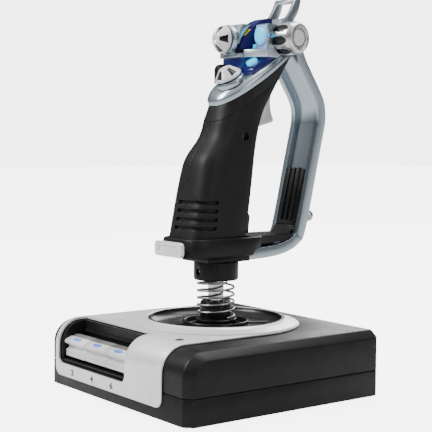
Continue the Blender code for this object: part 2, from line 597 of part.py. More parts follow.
def upper_parts(stick):
    """The box above the face plate: a pod for the upper hat on the left, set back on the right."""
    outline = [(20.5, 262), (20.5, 283), (24, 288), (60, 288), (69, 284), (71, 279), (68, 262), (30, 262)]
    block = add("control_block", prism(outline, "X", -20, 21), BLUE_SILVER, parent=stick)
    step = cutter("block_step", box((4, 40), (0, 36), (230, 300)))
    boolean(block, step)
    ground = head_loft([(-90, -30), (GAP, -30)])
    boolean(block, cutter("block_seat", ground))
    rear = (math.pi / 2, 0, 0)
    hat("hat_1", (-8, 20.5 - GAP, 276), rear, stick)
    hat("hat_2", (5, *plate_point(-14, GAP)), (TILT, 0, 0), stick)
    boolean(block, cutter("button_a_well", rod(6.9, -4, 30, 24), at=(14.2, 36, 279), turn=rear))
    boolean(block, cutter("button_a_seat", rod(6.9, -6.5, 1, 24), at=(14.2, 36, 279), turn=rear))
    button("button_a", (14.2, 36, 279), rear, 6.6, 3, CYAN, stick)
    panel = prism([(24, 248.8), (35, 255.6), (35, 261.4), (24, 254)], "X", -14, 17)
    panel = add("light_panel", panel, BLUE, parent=stick)
    spot = (10, 29.5, 257.7)
    boolean(panel, cutter("button_b_well", rod(5, -4, 20, 20), at=spot, turn=(TILT, 0, 0)))
    body = pivot("button_b_pivot", spot, parent=stick)
    profile = [(0, -1.5), (4.7, -1.5), (4.7, 2), (4, 3), (0, 3)]
    add("button_b", turned(profile, 20), CYAN, at=spot, turn=(TILT, 0, 0), parent=body)
    fire_parts(stick, block)
    dial_parts(stick, block)


def plate_point(u, n):
    """World (y, z) of a point u along and n above the face plate."""
    c, s = math.cos(TILT), math.sin(TILT)
    return (HEAD[0] + u * c - n * s, HEAD[1] + u * s + n * c)


def fire_parts(stick, block):
    boolean(block, cutter("fire_well", box((-8, 8), (30, 57), (279, 310))))
    fire = pivot("fire_button_pivot", (0, 44, 281), parent=stick)
    outline = [(30.5, 281.4), (56.5, 281.4), (56.5, 292.5), (47, 293.5), (38, 289.5), (30.5, 284)]
    add("fire_button", prism(outline, "X", -7.5, 7.5), NAVY, parent=fire)
    hinge = (0, 63.5, 291)
    boolean(block, cutter("cover_room", box((-10, 10), (58.6, 90), (286, 310))))
    for side in (-1, 1):
        ear = box(sorted((side * 10, side * 13.5)), (59.5, 67.5), (282, 294.5))
        boolean(block, cutter("ear_%d" % side, ear), "UNION")
    across = (0, math.pi / 2, 0)
    boolean(block, cutter("cover_bore", rod(1.5, -30, 30, 12), at=hinge, turn=across))
    add("cover_pin", rod(1.25, -13.2, 13.2, 12), STEEL, at=hinge, turn=across, parent=stick)
    body = pivot("safety_cover_pivot", hinge, parent=stick)
    side = [(60, 289), (67, 289), (72, 293), (77, 301), (79.5, 310), (78, 312), (74, 311.5), (69, 301), (62, 293)]
    cover = add("safety_cover", prism(side, "X", -9.6, 9.6), BLUE_SILVER, parent=body)
    boolean(cover, cutter("cover_window", box((-7, 7), (50, 90), (294.8, 307.5))))
    boolean(cover, cutter("cover_hinge_bore", rod(1.5, -30, 30, 12), at=hinge, turn=across))


def dial_parts(stick, block):
    centre = (21 + GAP, 54, 277)
    turn = (0, math.pi / 2, math.radians(8))
    body = pivot("mode_dial_pivot", centre, parent=stick)
    barrel = [(0, 1.8), (8, 1.8), (11.5, 4.5), (11.5, 12), (10, 17), (7.5, 17), (7, 16), (0, 16)]
    dial = add("mode_dial", turned(barrel, 28), PEARL, at=centre, turn=(0, 0, 0), parent=body)
    dial.matrix_local = Matrix.Rotation(math.radians(8), 4, "Z") @ Matrix.Rotation(math.pi / 2, 4, "Y")


def main():
    clear_scene()
    base_shells()
    fascia()
    dish_parts()
    bay_parts()
    centre = (0, AXIS_Y, PIVOT_Z)
    pitch = pivot("pitch_pivot", centre)
    roll = pivot("roll_pivot", centre, parent=pitch)
    stick = pivot("twist_pivot", centre, parent=roll)
    gimbal_parts(pitch, roll)
    grip_parts(stick)
    guard_parts(stick)
    rest_parts(stick)
    head_parts(stick)
    for obj in bpy.data.objects:
        if not obj.parent:
            obj.location.y -= ORIGIN_Y * MM


main()
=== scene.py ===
"""Looks of the desktop flight joystick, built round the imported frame.

Lengths below are in millimetres, in the drawing frame of the CAD part: the stick's base is centred on the
origin there, and every finished piece is shifted by ORIGIN_Y, as the CAD part is.
"""
import json
import math

import bmesh
import bpy
from mathutils import Matrix, Vector


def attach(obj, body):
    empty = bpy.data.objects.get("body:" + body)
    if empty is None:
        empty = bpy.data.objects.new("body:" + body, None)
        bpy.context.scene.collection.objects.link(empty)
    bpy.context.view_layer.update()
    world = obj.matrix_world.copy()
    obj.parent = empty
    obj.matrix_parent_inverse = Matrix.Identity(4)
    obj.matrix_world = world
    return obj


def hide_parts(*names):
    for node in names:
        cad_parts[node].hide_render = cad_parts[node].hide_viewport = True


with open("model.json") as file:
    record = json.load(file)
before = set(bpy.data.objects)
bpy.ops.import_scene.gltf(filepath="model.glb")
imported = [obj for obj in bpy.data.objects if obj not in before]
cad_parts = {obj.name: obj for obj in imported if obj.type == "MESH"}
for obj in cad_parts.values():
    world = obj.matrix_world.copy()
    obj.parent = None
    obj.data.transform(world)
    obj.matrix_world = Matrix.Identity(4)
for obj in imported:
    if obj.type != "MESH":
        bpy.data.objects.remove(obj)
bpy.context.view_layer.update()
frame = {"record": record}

MM = 0.001
GAP = 0.3
OCTAGON = 0.414

# Turns that lay a piece's own Z towards the pilot, who sits on the -Y side, or away, or across
TO_PILOT = (math.pi / 2, 0, 0)
AWAY = (-math.pi / 2, 0, 0)
ACROSS = (0, math.pi / 2, 0)

# Base
BASE_X = 95.0
BASE_Y = 92.0
BASE_TOP = 52.7
FOOT_H = 2.0
PARTING = 21.7
CHAMFER = 6.0
FRONT_R = 18.0
WALL = 2.5
PLATE_T = 1.5
FASCIA_X = (-83.0, 65.5)
FASCIA_R = 65.5
BAY_X = (-78.5, 18.5)
BAY_Z = 20.5
BAY_Y = -67.5
TOGGLE_Y = -78.0
TOGGLE_Z = 34.0
MARK_Z = 15.2
GLAND_AT = (-30, BASE_Y, 34)
EYE_AT = (51.4, -68, BASE_TOP + 1.9)

# Stick axis and gimbal
AXIS_Y = 3.0
PIVOT_Z = 40.0
DISH_R = 52.6
DISH_RISE = 6.0
HOLE_R = 21.5
SPRING_R = 14.7
WIRE_R = 0.9
COLLAR_R = 17.6
COLLAR_Z = (88.0, 103.0)

# Handle
LEAN = math.radians(13.0)
GUARD_X = 17.0
RAIL = 5.0
FLOOR = 3.5
GRIP_X = 22.0
GRIP_LOW = 107.4
GRIP_TOP = 250.0
REST_Z = (107.8, 122.0)
HEAD = (25.0, 248.5)
TILT = math.radians(32.0)
HEAD_Y = (-0.5, 73.0)
RIM = 9.5
NECK = 10.0
GUARD_PATH = [(-17, 103.4), (17, 103.4), (20, 103.4), (45, 104.8), (62, 108), (74.5, 114.5), (81.5, 126),
              (94, 180), (99.6, 204), (101.4, 214), (100.5, 226), (95.5, 237), (80, 261), (75.5, 272)]
GUARD_DEPTH = [3.5, 3.5, 8.5, 8.5, 8.5, 8] + [8] * 8
ORIGIN_Y = (101.4 - BASE_Y - 1.8) / 2

# Grip rows: height, the near and far ends of its outline seen from the front right, half width, squareness
VIEW_SIN, VIEW_COS = 0.798, 0.602
GRIP_ROWS = [(GRIP_LOW, -46.6, 27.5, 22.2, 0.5), (124, -42.6, 31, 22.2, 0.5), (136, -40.2, 33.4, 22.2, 0.5),
             (148, -37.7, 35.2, 22.1, 0.51), (160, -35.1, 36.8, 21.8, 0.53), (173, -31.8, 38.4, 21.2, 0.57),
             (180, -29.4, 39.2, 20.7, 0.6), (185, -26.6, 39.8, 20.2, 0.62), (191, -21.6, 40.7, 19.5, 0.64),
             (197, -16.6, 41.8, 18.8, 0.66), (203, -13.2, 43, 18.3, 0.67), (212, -10.4, 45.4, 18, 0.68),
             (222, -7.2, 49.3, 18.2, 0.7), (236, -5.2, 58, 18.5, 0.72), (GRIP_TOP, -4.5, 67, 18.5, 0.74)]
NECK_ROWS = GRIP_ROWS[9:]

# Pins as (y, z), and the controls on the head
TRIGGER_PIN = (58, 250)
PINKIE_PIN = (19.5, 138)
COVER_PIN = (63.5, 291)
KNOB_AT = (9, 84.2, 137)
HAT_R = 11.0
DIAL_AT = (21 + GAP, 54, 277)
DIAL_YAW = math.radians(8)
PUSH_A_AT = (14.2, 36, 279)
PUSH_B_AT = (10, 29.5, 257.7)

# Light and camera, in metres and degrees
BACKDROP = 6.0
FLOOR_GLOW = 0.5
FLOOR_GLOW_SEEN = 5.0
SURROUND = 0.9
SKY = ((0.0, 0.4), (0.48, 0.30), (0.55, 0.08), (0.68, 0.16), (0.85, 0.8), (1.0, 1.2))
CAMERA_AT = (0.7056, -0.5334, 0.1981)
CAMERA_TURN = (52.976, 3.907, -0.423)
CAMERA_LENS = 94.28


# ---------------------------------------------------------------- meshes
def loft(loops):
    """A solid through loops of equally many points, with flat ends."""
    bm = bmesh.new()
    rings = [[bm.verts.new(p) for p in loop] for loop in loops]
    for low, high in zip(rings, rings[1:]):
        for k in range(len(low)):
            n = (k + 1) % len(low)
            bm.faces.new((low[k], low[n], high[n], high[k]))
    bm.faces.new(rings[0][::-1])
    bm.faces.new(rings[-1])
    return bm


def prism(outline, axis, low, high):
    """Outline points extruded along an axis; they are (y, z) for X, (x, z) for Y and (x, y) for Z."""
    def point(p, h):
        return {"X": (h, p[0], p[1]), "Y": (p[0], h, p[1]), "Z": (p[0], p[1], h)}[axis]
    return loft([[point(p, low) for p in outline], [point(p, high) for p in outline]])


def box(x, y, z):
    return prism([(x[0], y[0]), (x[1], y[0]), (x[1], y[1]), (x[0], y[1])], "Z", *z)


def turned(profile, segments=64):
    """A solid of revolution about Z from a closed outline of (radius, height)."""
    bm = bmesh.new()
    rings = []
    for k in range(segments):
        a = 2 * math.pi * k / segments
        rings.append([bm.verts.new((r * math.cos(a), r * math.sin(a), h)) for r, h in profile])
    count = len(profile)
    for k in range(segments):
        here, there = rings[k], rings[(k + 1) % segments]
        for i in range(count):
            j = (i + 1) % count
            if profile[i][0] < 1e-6 and profile[j][0] < 1e-6:
                continue
            if profile[i][0] < 1e-6:
                bm.faces.new((here[i], there[j], here[j]))
            elif profile[j][0] < 1e-6:
                bm.faces.new((here[i], there[i], here[j]))
            else:
                bm.faces.new((here[i], there[i], there[j], here[j]))
    return bm


def rod(radius, low, high, segments=48):
    return turned([(0, low), (radius, low), (radius, high), (0, high)], segments)


def put(bm, at=(0, 0, 0), turn=(0, 0, 0)):
    """Turns the mesh about its own X, then Y, then Z, and moves it."""
    place = Matrix.Translation(Vector(at))
    for angle, axis in zip(turn, "XYZ"):
        place = place @ Matrix.Rotation(angle, 4, axis)
    bmesh.ops.transform(bm, matrix=place, verts=bm.verts)
    return bm


def upright_rod(radius, low, high, segments=48):
    """A rod on the stick's axis."""
    return put(rod(radius, low, high, segments), at=(0, AXIS_Y, 0))


def about_stick(profile, segments, z=0):
    return put(turned(profile, segments), at=(0, AXIS_Y, z))


def cross_rod(radius, half, y, z):
    """A rod across the stick, along X."""
    return put(rod(radius, -half, half), at=(0, y, z), turn=ACROSS)


def arc(centre, radius, start, end, steps):
    angles = [math.radians(start + (end - start) * k / steps) for k in range(steps + 1)]
    return [(centre[0] + radius * math.cos(a), centre[1] + radius * math.sin(a)) for a in angles]


def rounded(x, y, r, steps=8):
    corners = [((x[1] - r, y[0] + r), -90), ((x[1] - r, y[1] - r), 0),
               ((x[0] + r, y[1] - r), 90), ((x[0] + r, y[0] + r), 180)]
    return [p for c, a in corners for p in arc(c, r, a, a + 90, steps)]


def curve_through(points, steps):
    """Points of a smooth curve through rows of numbers, steps of them between two rows."""
    rows = [points[0]] + list(points) + [points[-1]]
    made = []
    for k in range(1, len(rows) - 2):
        before, here, there, after = rows[k - 1:k + 3]
        for j in range(steps):
            t = j / steps
            made.append(tuple(
                0.5 * (2 * b + (c - a) * t + (2 * a - 5 * b + 4 * c - d) * t ** 2
                       + (3 * b - a - 3 * c + d) * t ** 3)
                for a, b, c, d in zip(before, here, there, after)))
    return made + [tuple(points[-1])]


def linked(name, data):
    """A new object in the scene."""
    obj = bpy.data.objects.new(name, data)
    bpy.context.scene.collection.objects.link(obj)
    return obj


def to_object(name, bm):
    """An object made from a mesh in millimetres, which is used up."""
    bmesh.ops.remove_doubles(bm, verts=bm.verts, dist=1e-4)
    bmesh.ops.recalc_face_normals(bm, faces=bm.faces)
    bmesh.ops.scale(bm, vec=(MM, MM, MM), verts=bm.verts)
    bmesh.ops.translate(bm, vec=(0, -ORIGIN_Y * MM, 0), verts=bm.verts)
    mesh = bpy.data.meshes.new(name)
    bm.to_mesh(mesh)
    bm.free()
    return linked(name, mesh)


def applied(obj):
    """The object, with the result of its modifiers put into its mesh."""
    bpy.context.view_layer.update()
    graph = bpy.context.evaluated_depsgraph_get()
    mesh = bpy.data.meshes.new_from_object(obj.evaluated_get(graph))
    obj.modifiers.clear()
    obj.data = mesh
    return obj


def rounded_edges(obj, width, angle, segments):
    step = obj.modifiers.new("Edges", "BEVEL")
    step.width = width * MM
    step.segments = segments
    step.limit_method = "ANGLE"
    step.angle_limit = math.radians(angle)
    step.harden_normals = True
    obj.data.shade_smooth()
    applied(obj)


def piece(name, bm, look, body, node=None, cuts=(), joins=(), bevel=0.35, angle=35, segments=3, slot=None,
          early=False):
    """A finished piece: its mesh with others joined and cut, its edges rounded, riding on a body.

    node is the CAD node that it replaces; early rounds the edges before the cuts.
    """
    obj = to_object(name, bm)
    if early:
        rounded_edges(obj, bevel, angle, segments)
    for operation, others in (("UNION", joins), ("DIFFERENCE", cuts)):
        for other in others:
            tool = to_object("tool", other)
            step = obj.modifiers.new("step", "BOOLEAN")
            step.operation = operation
            step.object = tool
            applied(obj)
            bpy.data.objects.remove(tool)
    if bevel and not early:
        rounded_edges(obj, bevel, angle, segments)
    obj.data.shade_smooth()
    obj.data.set_sharp_from_angle(angle=math.radians(40 if bevel else angle))
    obj.data.materials.clear()
    obj.data.materials.append(LOOKS[look])
    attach(obj, body)
    if node:
        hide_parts(node)
        slot = slot or SLOT_OF[node]


SLOT_OF = {part["node"]: part["material_slot"] for part in frame["record"]["subparts"]}


# ---------------------------------------------------------------- materials
def setup(made, values):
    """Sets inputs of a shader node, by name or by number."""
    for name, value in values.items():
        made.inputs[name].default_value = value


def add(tree, kind, values=()):
    """A new shader node with some of its inputs set."""
    made = tree.nodes.new("ShaderNode" + kind)
    setup(made, dict(values))
    return made


def new_look(name, colour, roughness, metallic=0.0, coat=0.0, specular=0.5):
    made = bpy.data.materials.new(name)
    made.use_nodes = True
    shader = made.node_tree.nodes["Principled BSDF"]
    setup(shader, {"Base Color": (*colour, 1.0), "Roughness": roughness, "Metallic": metallic,
                   "Coat Weight": coat, "Coat Roughness": 0.08, "Specular IOR Level": specular})
    return made, made.node_tree, shader


def noise(tree, scale, detail=4.0):
    """A noise texture in object space, so that it stays fixed to the piece."""
    coords = add(tree, "TexCoord")
    texture = add(tree, "TexNoise", {"Scale": scale, "Detail": detail, "Roughness": 0.6})
    tree.links.new(coords.outputs["Object"], texture.inputs["Vector"])
    return texture


def grain(tree, shader, scale, strength, distance=0.0002):
    """Fine bump, as of a moulded or sprayed surface."""
    texture = noise(tree, scale)
    bump = add(tree, "Bump", {"Strength": strength, "Distance": distance})
    tree.links.new(texture.outputs["Fac"], bump.inputs["Height"])
    tree.links.new(bump.outputs["Normal"], shader.inputs["Normal"])


def vary(tree, shader, socket, scale, low, high):
    """Lets a number wander between two values over the surface."""
    texture = noise(tree, scale, 3.0)
    spread = add(tree, "MapRange", {"From Min": 0.3, "From Max": 0.7, "To Min": low, "To Max": high})
    tree.links.new(texture.outputs["Fac"], spread.inputs["Value"])
    tree.links.new(spread.outputs["Result"], shader.inputs[socket])


def mottle(tree, shader, scale, dark, light):
    """Base colour that wanders between two close colours."""
    texture = noise(tree, scale, 3.0)
    ramp = add(tree, "ValToRGB")
    for stop, position, colour in zip(ramp.color_ramp.elements, (0.35, 0.65), (dark, light)):
        stop.position, stop.color = position, (*colour, 1)
    tree.links.new(texture.outputs["Fac"], ramp.inputs["Fac"])
    tree.links.new(ramp.outputs["Color"], shader.inputs["Base Color"])


def plain(name, dark, light, rough, scale=60, bump=(1800, 0.15), metallic=0.0, coat=0.0, specular=0.5):
    """An opaque material: two close colours, a range of roughness, and a fine bump unless it is None."""
    made, tree, shader = new_look(name, light, rough[0], metallic, coat, specular)
    mottle(tree, shader, scale, dark, light)
    vary(tree, shader, "Roughness", scale * 1.7, *rough)
    if bump:
        grain(tree, shader, *bump)
    return made


def lit(name, colour, glow, strength):
    """A glossy lens with an even glow of its own."""
    made, tree, shader = new_look(name, colour, 0.12, coat=0.6)
    mottle(tree, shader, 40, tuple(c * 0.85 for c in colour), colour)
    grain(tree, shader, 400, 0.05)
    setup(shader, {"Emission Color": (*glow, 1), "Emission Strength": strength})
    return made


def make_looks():
    return {
        "black": plain("satin_black_plastic", (0.006, 0.006, 0.0065), (0.009, 0.009, 0.0095), (0.36, 0.44),
                       bump=(2600, 0.3, 0.00008), specular=0.2),
        "grip": plain("soft_black_plastic", (0.007, 0.007, 0.007), (0.010, 0.010, 0.010), (0.46, 0.54),
                      bump=(2600, 0.3, 0.00008), specular=0.2),
        "dark": plain("smooth_dark_plastic", (0.004, 0.004, 0.0045), (0.007, 0.007, 0.0075), (0.26, 0.34),
                      specular=0.35),
        "silver": plain("silver_paint", (0.78, 0.78, 0.79), (0.85, 0.85, 0.86), (0.3, 0.38), metallic=0.35,
                        bump=(3000, 0.12, 0.00005)),
        "blue_silver": plain("blue_silver_paint", (0.36, 0.43, 0.48), (0.39, 0.46, 0.51), (0.24, 0.28),
                             scale=9, metallic=0.85, bump=(3600, 0.03, 0.00002), coat=0.2),
        "chrome": plain("polished_chrome", (0.42, 0.42, 0.43), (0.52, 0.52, 0.53), (0.06, 0.12),
                        metallic=1.0, bump=(900, 0.04)),
        "steel": plain("machined_steel", (0.36, 0.36, 0.37), (0.5, 0.5, 0.51), (0.25, 0.4), metallic=1.0),
        "rubber": plain("matte_rubber", (0.010, 0.010, 0.010), (0.016, 0.016, 0.016), (0.75, 0.88)),
        "white": plain("white_plastic", (0.62, 0.62, 0.64), (0.74, 0.74, 0.75), (0.2, 0.28), metallic=0.1,
                       coat=0.3, bump=(2200, 0.05)),
        "ash": plain("light_grey_plastic", (0.5, 0.5, 0.51), (0.58, 0.58, 0.59), (0.2, 0.28), metallic=0.25,
                     coat=0.3, bump=(2200, 0.05)),
        "bright": plain("bright_silver_paint", (0.55, 0.55, 0.56), (0.62, 0.62, 0.63), (0.2, 0.28),
                        metallic=0.85, bump=(3000, 0.06, 0.00003)),
        "grey": plain("grey_plastic", (0.10, 0.097, 0.093), (0.16, 0.155, 0.15), (0.35, 0.45),
                      bump=(1600, 0.3)),
        "navy": plain("navy_plastic", (0.008, 0.007, 0.075), (0.011, 0.009, 0.10), (0.38, 0.48),
                      bump=(900, 0.03), specular=0.12),
        "yellow": plain("yellow_print", (0.75, 0.55, 0.02), (0.85, 0.66, 0.05), (0.3, 0.4)),
        "board": plain("green_laminate", (0.01, 0.10, 0.04), (0.02, 0.14, 0.06), (0.35, 0.5)),
        "ink": plain("dark_print", (0.02, 0.02, 0.02), (0.035, 0.035, 0.035), (0.5, 0.6)),
        "blue_print": plain("blue_print", (0.08, 0.19, 0.62), (0.13, 0.28, 0.78), (0.3, 0.4)),
        "cyan": lit("cyan_lens", (0.06, 0.60, 0.85), (0.02, 0.60, 1.0), 0.9),
        "indigo": lit("indigo_lens", (0.010, 0.014, 0.10), (0.02, 0.03, 0.45), 0.10),
        "ice": lit("clear_ice_lens", (0.30, 0.42, 0.62), (0.1, 0.25, 0.8), 0.22),
        "label": plain("silver_label", (0.45, 0.50, 0.58), (0.55, 0.60, 0.68), (0.25, 0.35), metallic=0.6),
    }


LOOKS = make_looks()


# ---------------------------------------------------------------- base
def cover_side(inset, low):
    """Side outline of the cover as (y, z): a large radius in front and a chamfer at the back."""
    front = arc((-BASE_Y + FRONT_R, BASE_TOP - FRONT_R), FRONT_R - inset, 180, 90, 20)
    shift = inset * OCTAGON
    back = [(BASE_Y - CHAMFER - shift, BASE_TOP - inset), (BASE_Y - inset, BASE_TOP - CHAMFER - shift)]
    return [(-BASE_Y + inset, low)] + front + back + [(BASE_Y - inset, low)]


def cover_body(inset, low):
    shift = inset * OCTAGON
    ends = [(-BASE_X + inset, CHAMFER + shift), (-BASE_X + CHAMFER + shift, inset),
            (BASE_X - CHAMFER - shift, inset), (BASE_X - inset, CHAMFER + shift)]
    return loft([[(x, y, z) for y, z in cover_side(d, low)] for x, d in ends])


def tray_body(inset, low, high):
    c = CHAMFER + inset * OCTAGON
    x, y = BASE_X - inset, BASE_Y - inset
    outline = [(-x + c, -y), (x - c, -y), (x, -y + c), (x, y - c), (x - c, y), (-x + c, y),
               (-x, y - c), (-x, -y + c)]
    return prism(outline, "Z", low, high)


def base_shells():
    piece("tray_shell", tray_body(0, FOOT_H, PARTING - GAP), "black", "base", "base_tray",
          cuts=[tray_body(WALL, FOOT_H + WALL, PARTING + 5)], bevel=0.6, early=True)
    opening = box((BAY_X[0] + 1, BAY_X[1] - 1), (-110, BAY_Y - 1), (BAY_Z + 2, 90))
    hole = put(rod(5.4, -10, 10), at=GLAND_AT, turn=AWAY)
    piece("cover_shell", cover_body(0, PARTING), "black", "base", "base_cover",
          cuts=[cover_body(WALL, PARTING - 10), upright_rod(DISH_R + 2, 40, 60, 96), opening, hole],
          bevel=1.1, segments=4, angle=30, early=True)
    profile = [(3.3, -8), (5.1, -8), (5.1, GAP), (7.5, GAP), (7.5, 1.6), (6.5, 3)]
    profile += [(5.9, 3.4), (6.1, 4.2), (5.6, 4.6), (5.8, 5.4), (5.3, 5.8), (5.4, 6.6), (5, 8), (3.3, 8)]
    piece("inlet_gland", put(turned(profile, 48), at=GLAND_AT, turn=AWAY), "rubber", "base",
          "cable_gland", bevel=0.15)
    corners = [("front_left", -1, -1), ("front_right", 1, -1), ("rear_left", -1, 1), ("rear_right", 1, 1)]
    for name, sx, sy in corners:
        pad = [(0, 0.4), (6.8, 0.4), (7.2, 0), (8.5, 0), (9, 0.5), (9, FOOT_H - GAP), (0, FOOT_H - GAP)]
        piece("pad_" + name, put(turned(pad, 40), at=(sx * 78, sy * 75, 0)), "rubber", "base",
              "foot_" + name, bevel=0)


def fascia_path(offset):
    """The line (y, z) up the base's front, round its edge and back over its top."""
    edge = arc((-BASE_Y + FRONT_R, BASE_TOP - FRONT_R), FRONT_R + offset, 180, 90, 28)
    return [(-BASE_Y - offset, 10.5)] + edge + [(AXIS_Y + 68, BASE_TOP + offset)]


def fascia_plan():
    """Plan of the fascia: a circle about the dish on the right, and a wider ellipse on the left."""
    right = arc((0, AXIS_Y), FASCIA_R, 0, 90, 48)
    left = [(FASCIA_X[0] * math.sin(a), AXIS_Y + FASCIA_R * math.cos(a))
            for a in (math.pi / 2 * k / 48 for k in range(1, 49))]
    return [(FASCIA_R, -110)] + right + left + [(FASCIA_X[0], -110)]


def difference(bm, other):
    return intersect(bm, other, "DIFFERENCE")


def intersect(bm, other, operation="INTERSECT"):
    """What is left of a mesh inside another one or, for a difference, outside it; both are used up."""
    obj, tool = to_object("kept", bm), to_object("keeper", other)
    step = obj.modifiers.new("step", "BOOLEAN")
    step.operation = operation
    step.object = tool
    applied(obj)
    made = bmesh.new()
    made.from_mesh(obj.data)
    bmesh.ops.translate(made, vec=(0, ORIGIN_Y * MM, 0), verts=made.verts)
    bmesh.ops.scale(made, vec=(1 / MM,) * 3, verts=made.verts)
    bpy.data.objects.remove(obj)
    bpy.data.objects.remove(tool)
    return made


def fascia():
    section = fascia_path(GAP + PLATE_T) + fascia_path(GAP)[::-1]
    plate = prism(section, "X", FASCIA_X[0] - 3, FASCIA_X[1] + 3)
    plate = intersect(plate, prism(fascia_plan(), "Z", -5, 90))
    plate = intersect(plate, prism(rounded(FASCIA_X, (10.5, 110), 7), "Y", -120, 120))
    side = [(-110, 0), (BAY_Y, 0), (BAY_Y, 90), (-110, 90)]
    window = prism(rounded(BAY_X, (BAY_Z, 120), 5.5), "Y", -110, -40)
    window = intersect(window, prism(side, "X", -120, 120))
    piece("silver_fascia", plate, "silver", "base", "fascia_plate",
          cuts=[window, upright_rod(DISH_R + 2, 40, 70, 128)], bevel=0.4, early=True)
    eye = put(turned([(0, 0), (2.6, 0), (2.6, 0.25), (0, 0.25)], 32), at=EYE_AT)
    bmesh.ops.scale(eye, vec=(1, 1.3, 1), verts=eye.verts, space=Matrix.Translation(-Vector(EYE_AT)))
    piece("status_eye", eye, "ink", "base", bevel=0, slot="dark_plastic")
    for text, x in (("2", -56.5), ("4", -27.5), ("6", 0.5)):
        numeral("rocker_mark_" + text, text, x)


def numeral(name, text, x):
    """A plain numeral printed on the front of the fascia."""
    curve = bpy.data.curves.new(name, "FONT")
    curve.body = text
    curve.size = 6.2 * MM
    curve.extrude = 0.15 * MM
    curve.offset = 0.12 * MM
    curve.align_x = "CENTER"
    curve.align_y = "CENTER"
    shape = linked(name, curve)
    bpy.context.view_layer.update()
    mesh = bpy.data.meshes.new_from_object(shape.evaluated_get(bpy.context.evaluated_depsgraph_get()))
    bpy.data.objects.remove(shape)
    place = Matrix.Translation(Vector((x, -BASE_Y - GAP - PLATE_T - ORIGIN_Y, MARK_Z)) * MM)
    widened = Matrix.Diagonal((1.4, 1, 1, 1))
    mesh.transform(place @ Matrix.Rotation(math.pi / 2, 4, "X") @ widened)
    obj = linked(name, mesh)
    mesh.materials.append(LOOKS["ink"])
    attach(obj, "base")


def dish_parts():
    low = BASE_TOP + GAP + PLATE_T + GAP
    top = BASE_TOP + DISH_RISE
    cone = curve_through([(64.5, low + 0.4), (61, low + 1.3), (57, top - 1.4),
                          (DISH_R + 2.6, top - 0.1)], 6)
    ring = [(DISH_R + 0.9, low), (64.5, low)] + cone + [(DISH_R + 1.6, top), (DISH_R + 0.9, top - 0.5)]
    piece("dish_ring", about_stick(ring, 160), "silver", "base", "dish_bezel", bevel=0)
    floor = BASE_TOP - 0.5
    wall = curve_through([(DISH_R - 1, top), (DISH_R - 2.5, floor + 3.5), (DISH_R - 7, floor + 0.6),
                          (DISH_R - 14, floor)], 6)
    dish = [(HOLE_R, floor - 1.5), (DISH_R + 0.5, floor - 1.5), (DISH_R + 0.5, top - 0.6),
            (DISH_R + 0.1, top)] + wall
    dish += [(26.4, floor), (25.8, floor + 3.6), (25.4, floor + 4), (24.4, floor + 4), (24, floor + 3.4),
             (23.2, floor + 0.4), (HOLE_R, floor)]
    ribs = []
    for k in range(8):
        rib = box((25, DISH_R - 9), (-0.9, 0.9), (floor - 1, floor + 1.2))
        ribs.append(put(rib, at=(0, AXIS_Y, 0), turn=(0, 0, math.radians(22.5 + 45 * k))))
    piece("dish_bowl", about_stick(dish, 128), "dark", "base", "dish", joins=ribs,
          bevel=0.3)


def bay_parts():
    """The tub behind the window in the fascia, and its three rockers."""
    x0, x1 = BAY_X[0] + 1.3, BAY_X[1] - 1.3
    y0, y1 = -BASE_Y + 0.5, BAY_Y - 1.5
    z0, z1 = BAY_Z + 2.3, BASE_TOP - 0.4
    hollow = prism([(-110, z0 + 0.9), (y1 - 2, z0 + 0.9), (y1 - 2, 90), (-110, 90)], "X", x0 + 2, x1 - 2)
    edge = arc((-BASE_Y + FRONT_R, BASE_TOP - FRONT_R), FRONT_R - 0.5, 180, 90, 24)
    rim = [(-120, z0 - 5), (-BASE_Y + 0.5, z0 - 5)] + edge + [(-BASE_Y + FRONT_R, 90), (-120, 90)]
    ledge = box((x0 + 1, x1 - 1), (y1 - 3.6, y1 - 1), (z1 - 9, z1 - 6.5))
    piece("bay_tub", box((x0, x1), (y0, y1), (z0, z1)), "black", "base", "switch_bay",
          cuts=[hollow, prism(rim, "X", -120, 120)], bevel=0)
    piece("bay_ledge", ledge, "black", "base", bevel=0.3, slot="dark_plastic")
    pitch = (x1 - x0 - 5) / 3
    for k in range(3):
        middle = x0 + 2.5 + pitch * (k + 0.5)
        rocker(k + 1, middle, pitch / 2 - 0.4)


def rocker(number, middle, half):
    """A rocker: white lip and pads in front, grey hood behind, and a blue oval printed on the lip."""
    body, y, z = "rocker_%d" % number, TOGGLE_Y, TOGGLE_Z
    x = (middle - half, middle + half)
    lip = [(-6, 7.4), (-6.8, 7.1), (-11.6, 5.2), (-12.6, 4), (-12.4, 2.4), (-10.6, 1.4), (-9, 0.2),
           (-8.6, -0.8), (-9.6, -2), (-11, -2.8), (-11.2, -4), (-11.2, -7.7), (-10.6, -8.3), (-6, -8.3)]
    lip = prism([(y + a, z + b) for a, b in lip], "X", *x)
    groove = box((x[0] - 1, x[1] + 1), (y - 12, y - 10.8), (z - 5.4, z - 4.9))
    piece("rocker_face_%d" % number, lip, "white", body, "toggle_%d" % number, cuts=[groove], bevel=0.4)
    hood = arc((0, 0), 6.4, -60, 70, 12) + [(0.6, 8.2), (-3.4, 8.2), (-5.7, 6.8), (-5.7, -6.5), (0, -6.5)]
    hood = [(y + a, z + b) for a, b in hood]
    piece("rocker_hood_%d" % number, prism(hood, "X", *x), "grey", body, bevel=0.3, slot="dark_plastic",
          cuts=[cross_rod(1.9, 100, y, z)])
    slope = math.atan2(7.1 - 5.2, 11.6 - 6.8)
    oval = turned([(0, 0), (3.4, 0), (3.4, 0.12), (0, 0.12)], 48)
    bmesh.ops.scale(oval, vec=(1.7, 0.6, 1), verts=oval.verts)
    at = (middle, y - 9.2, z + 6.17)
    piece("rocker_print_%d" % number, put(oval, at=at, turn=(slope, 0, 0)), "blue_print", body, bevel=0,
          slot="blue_lens")


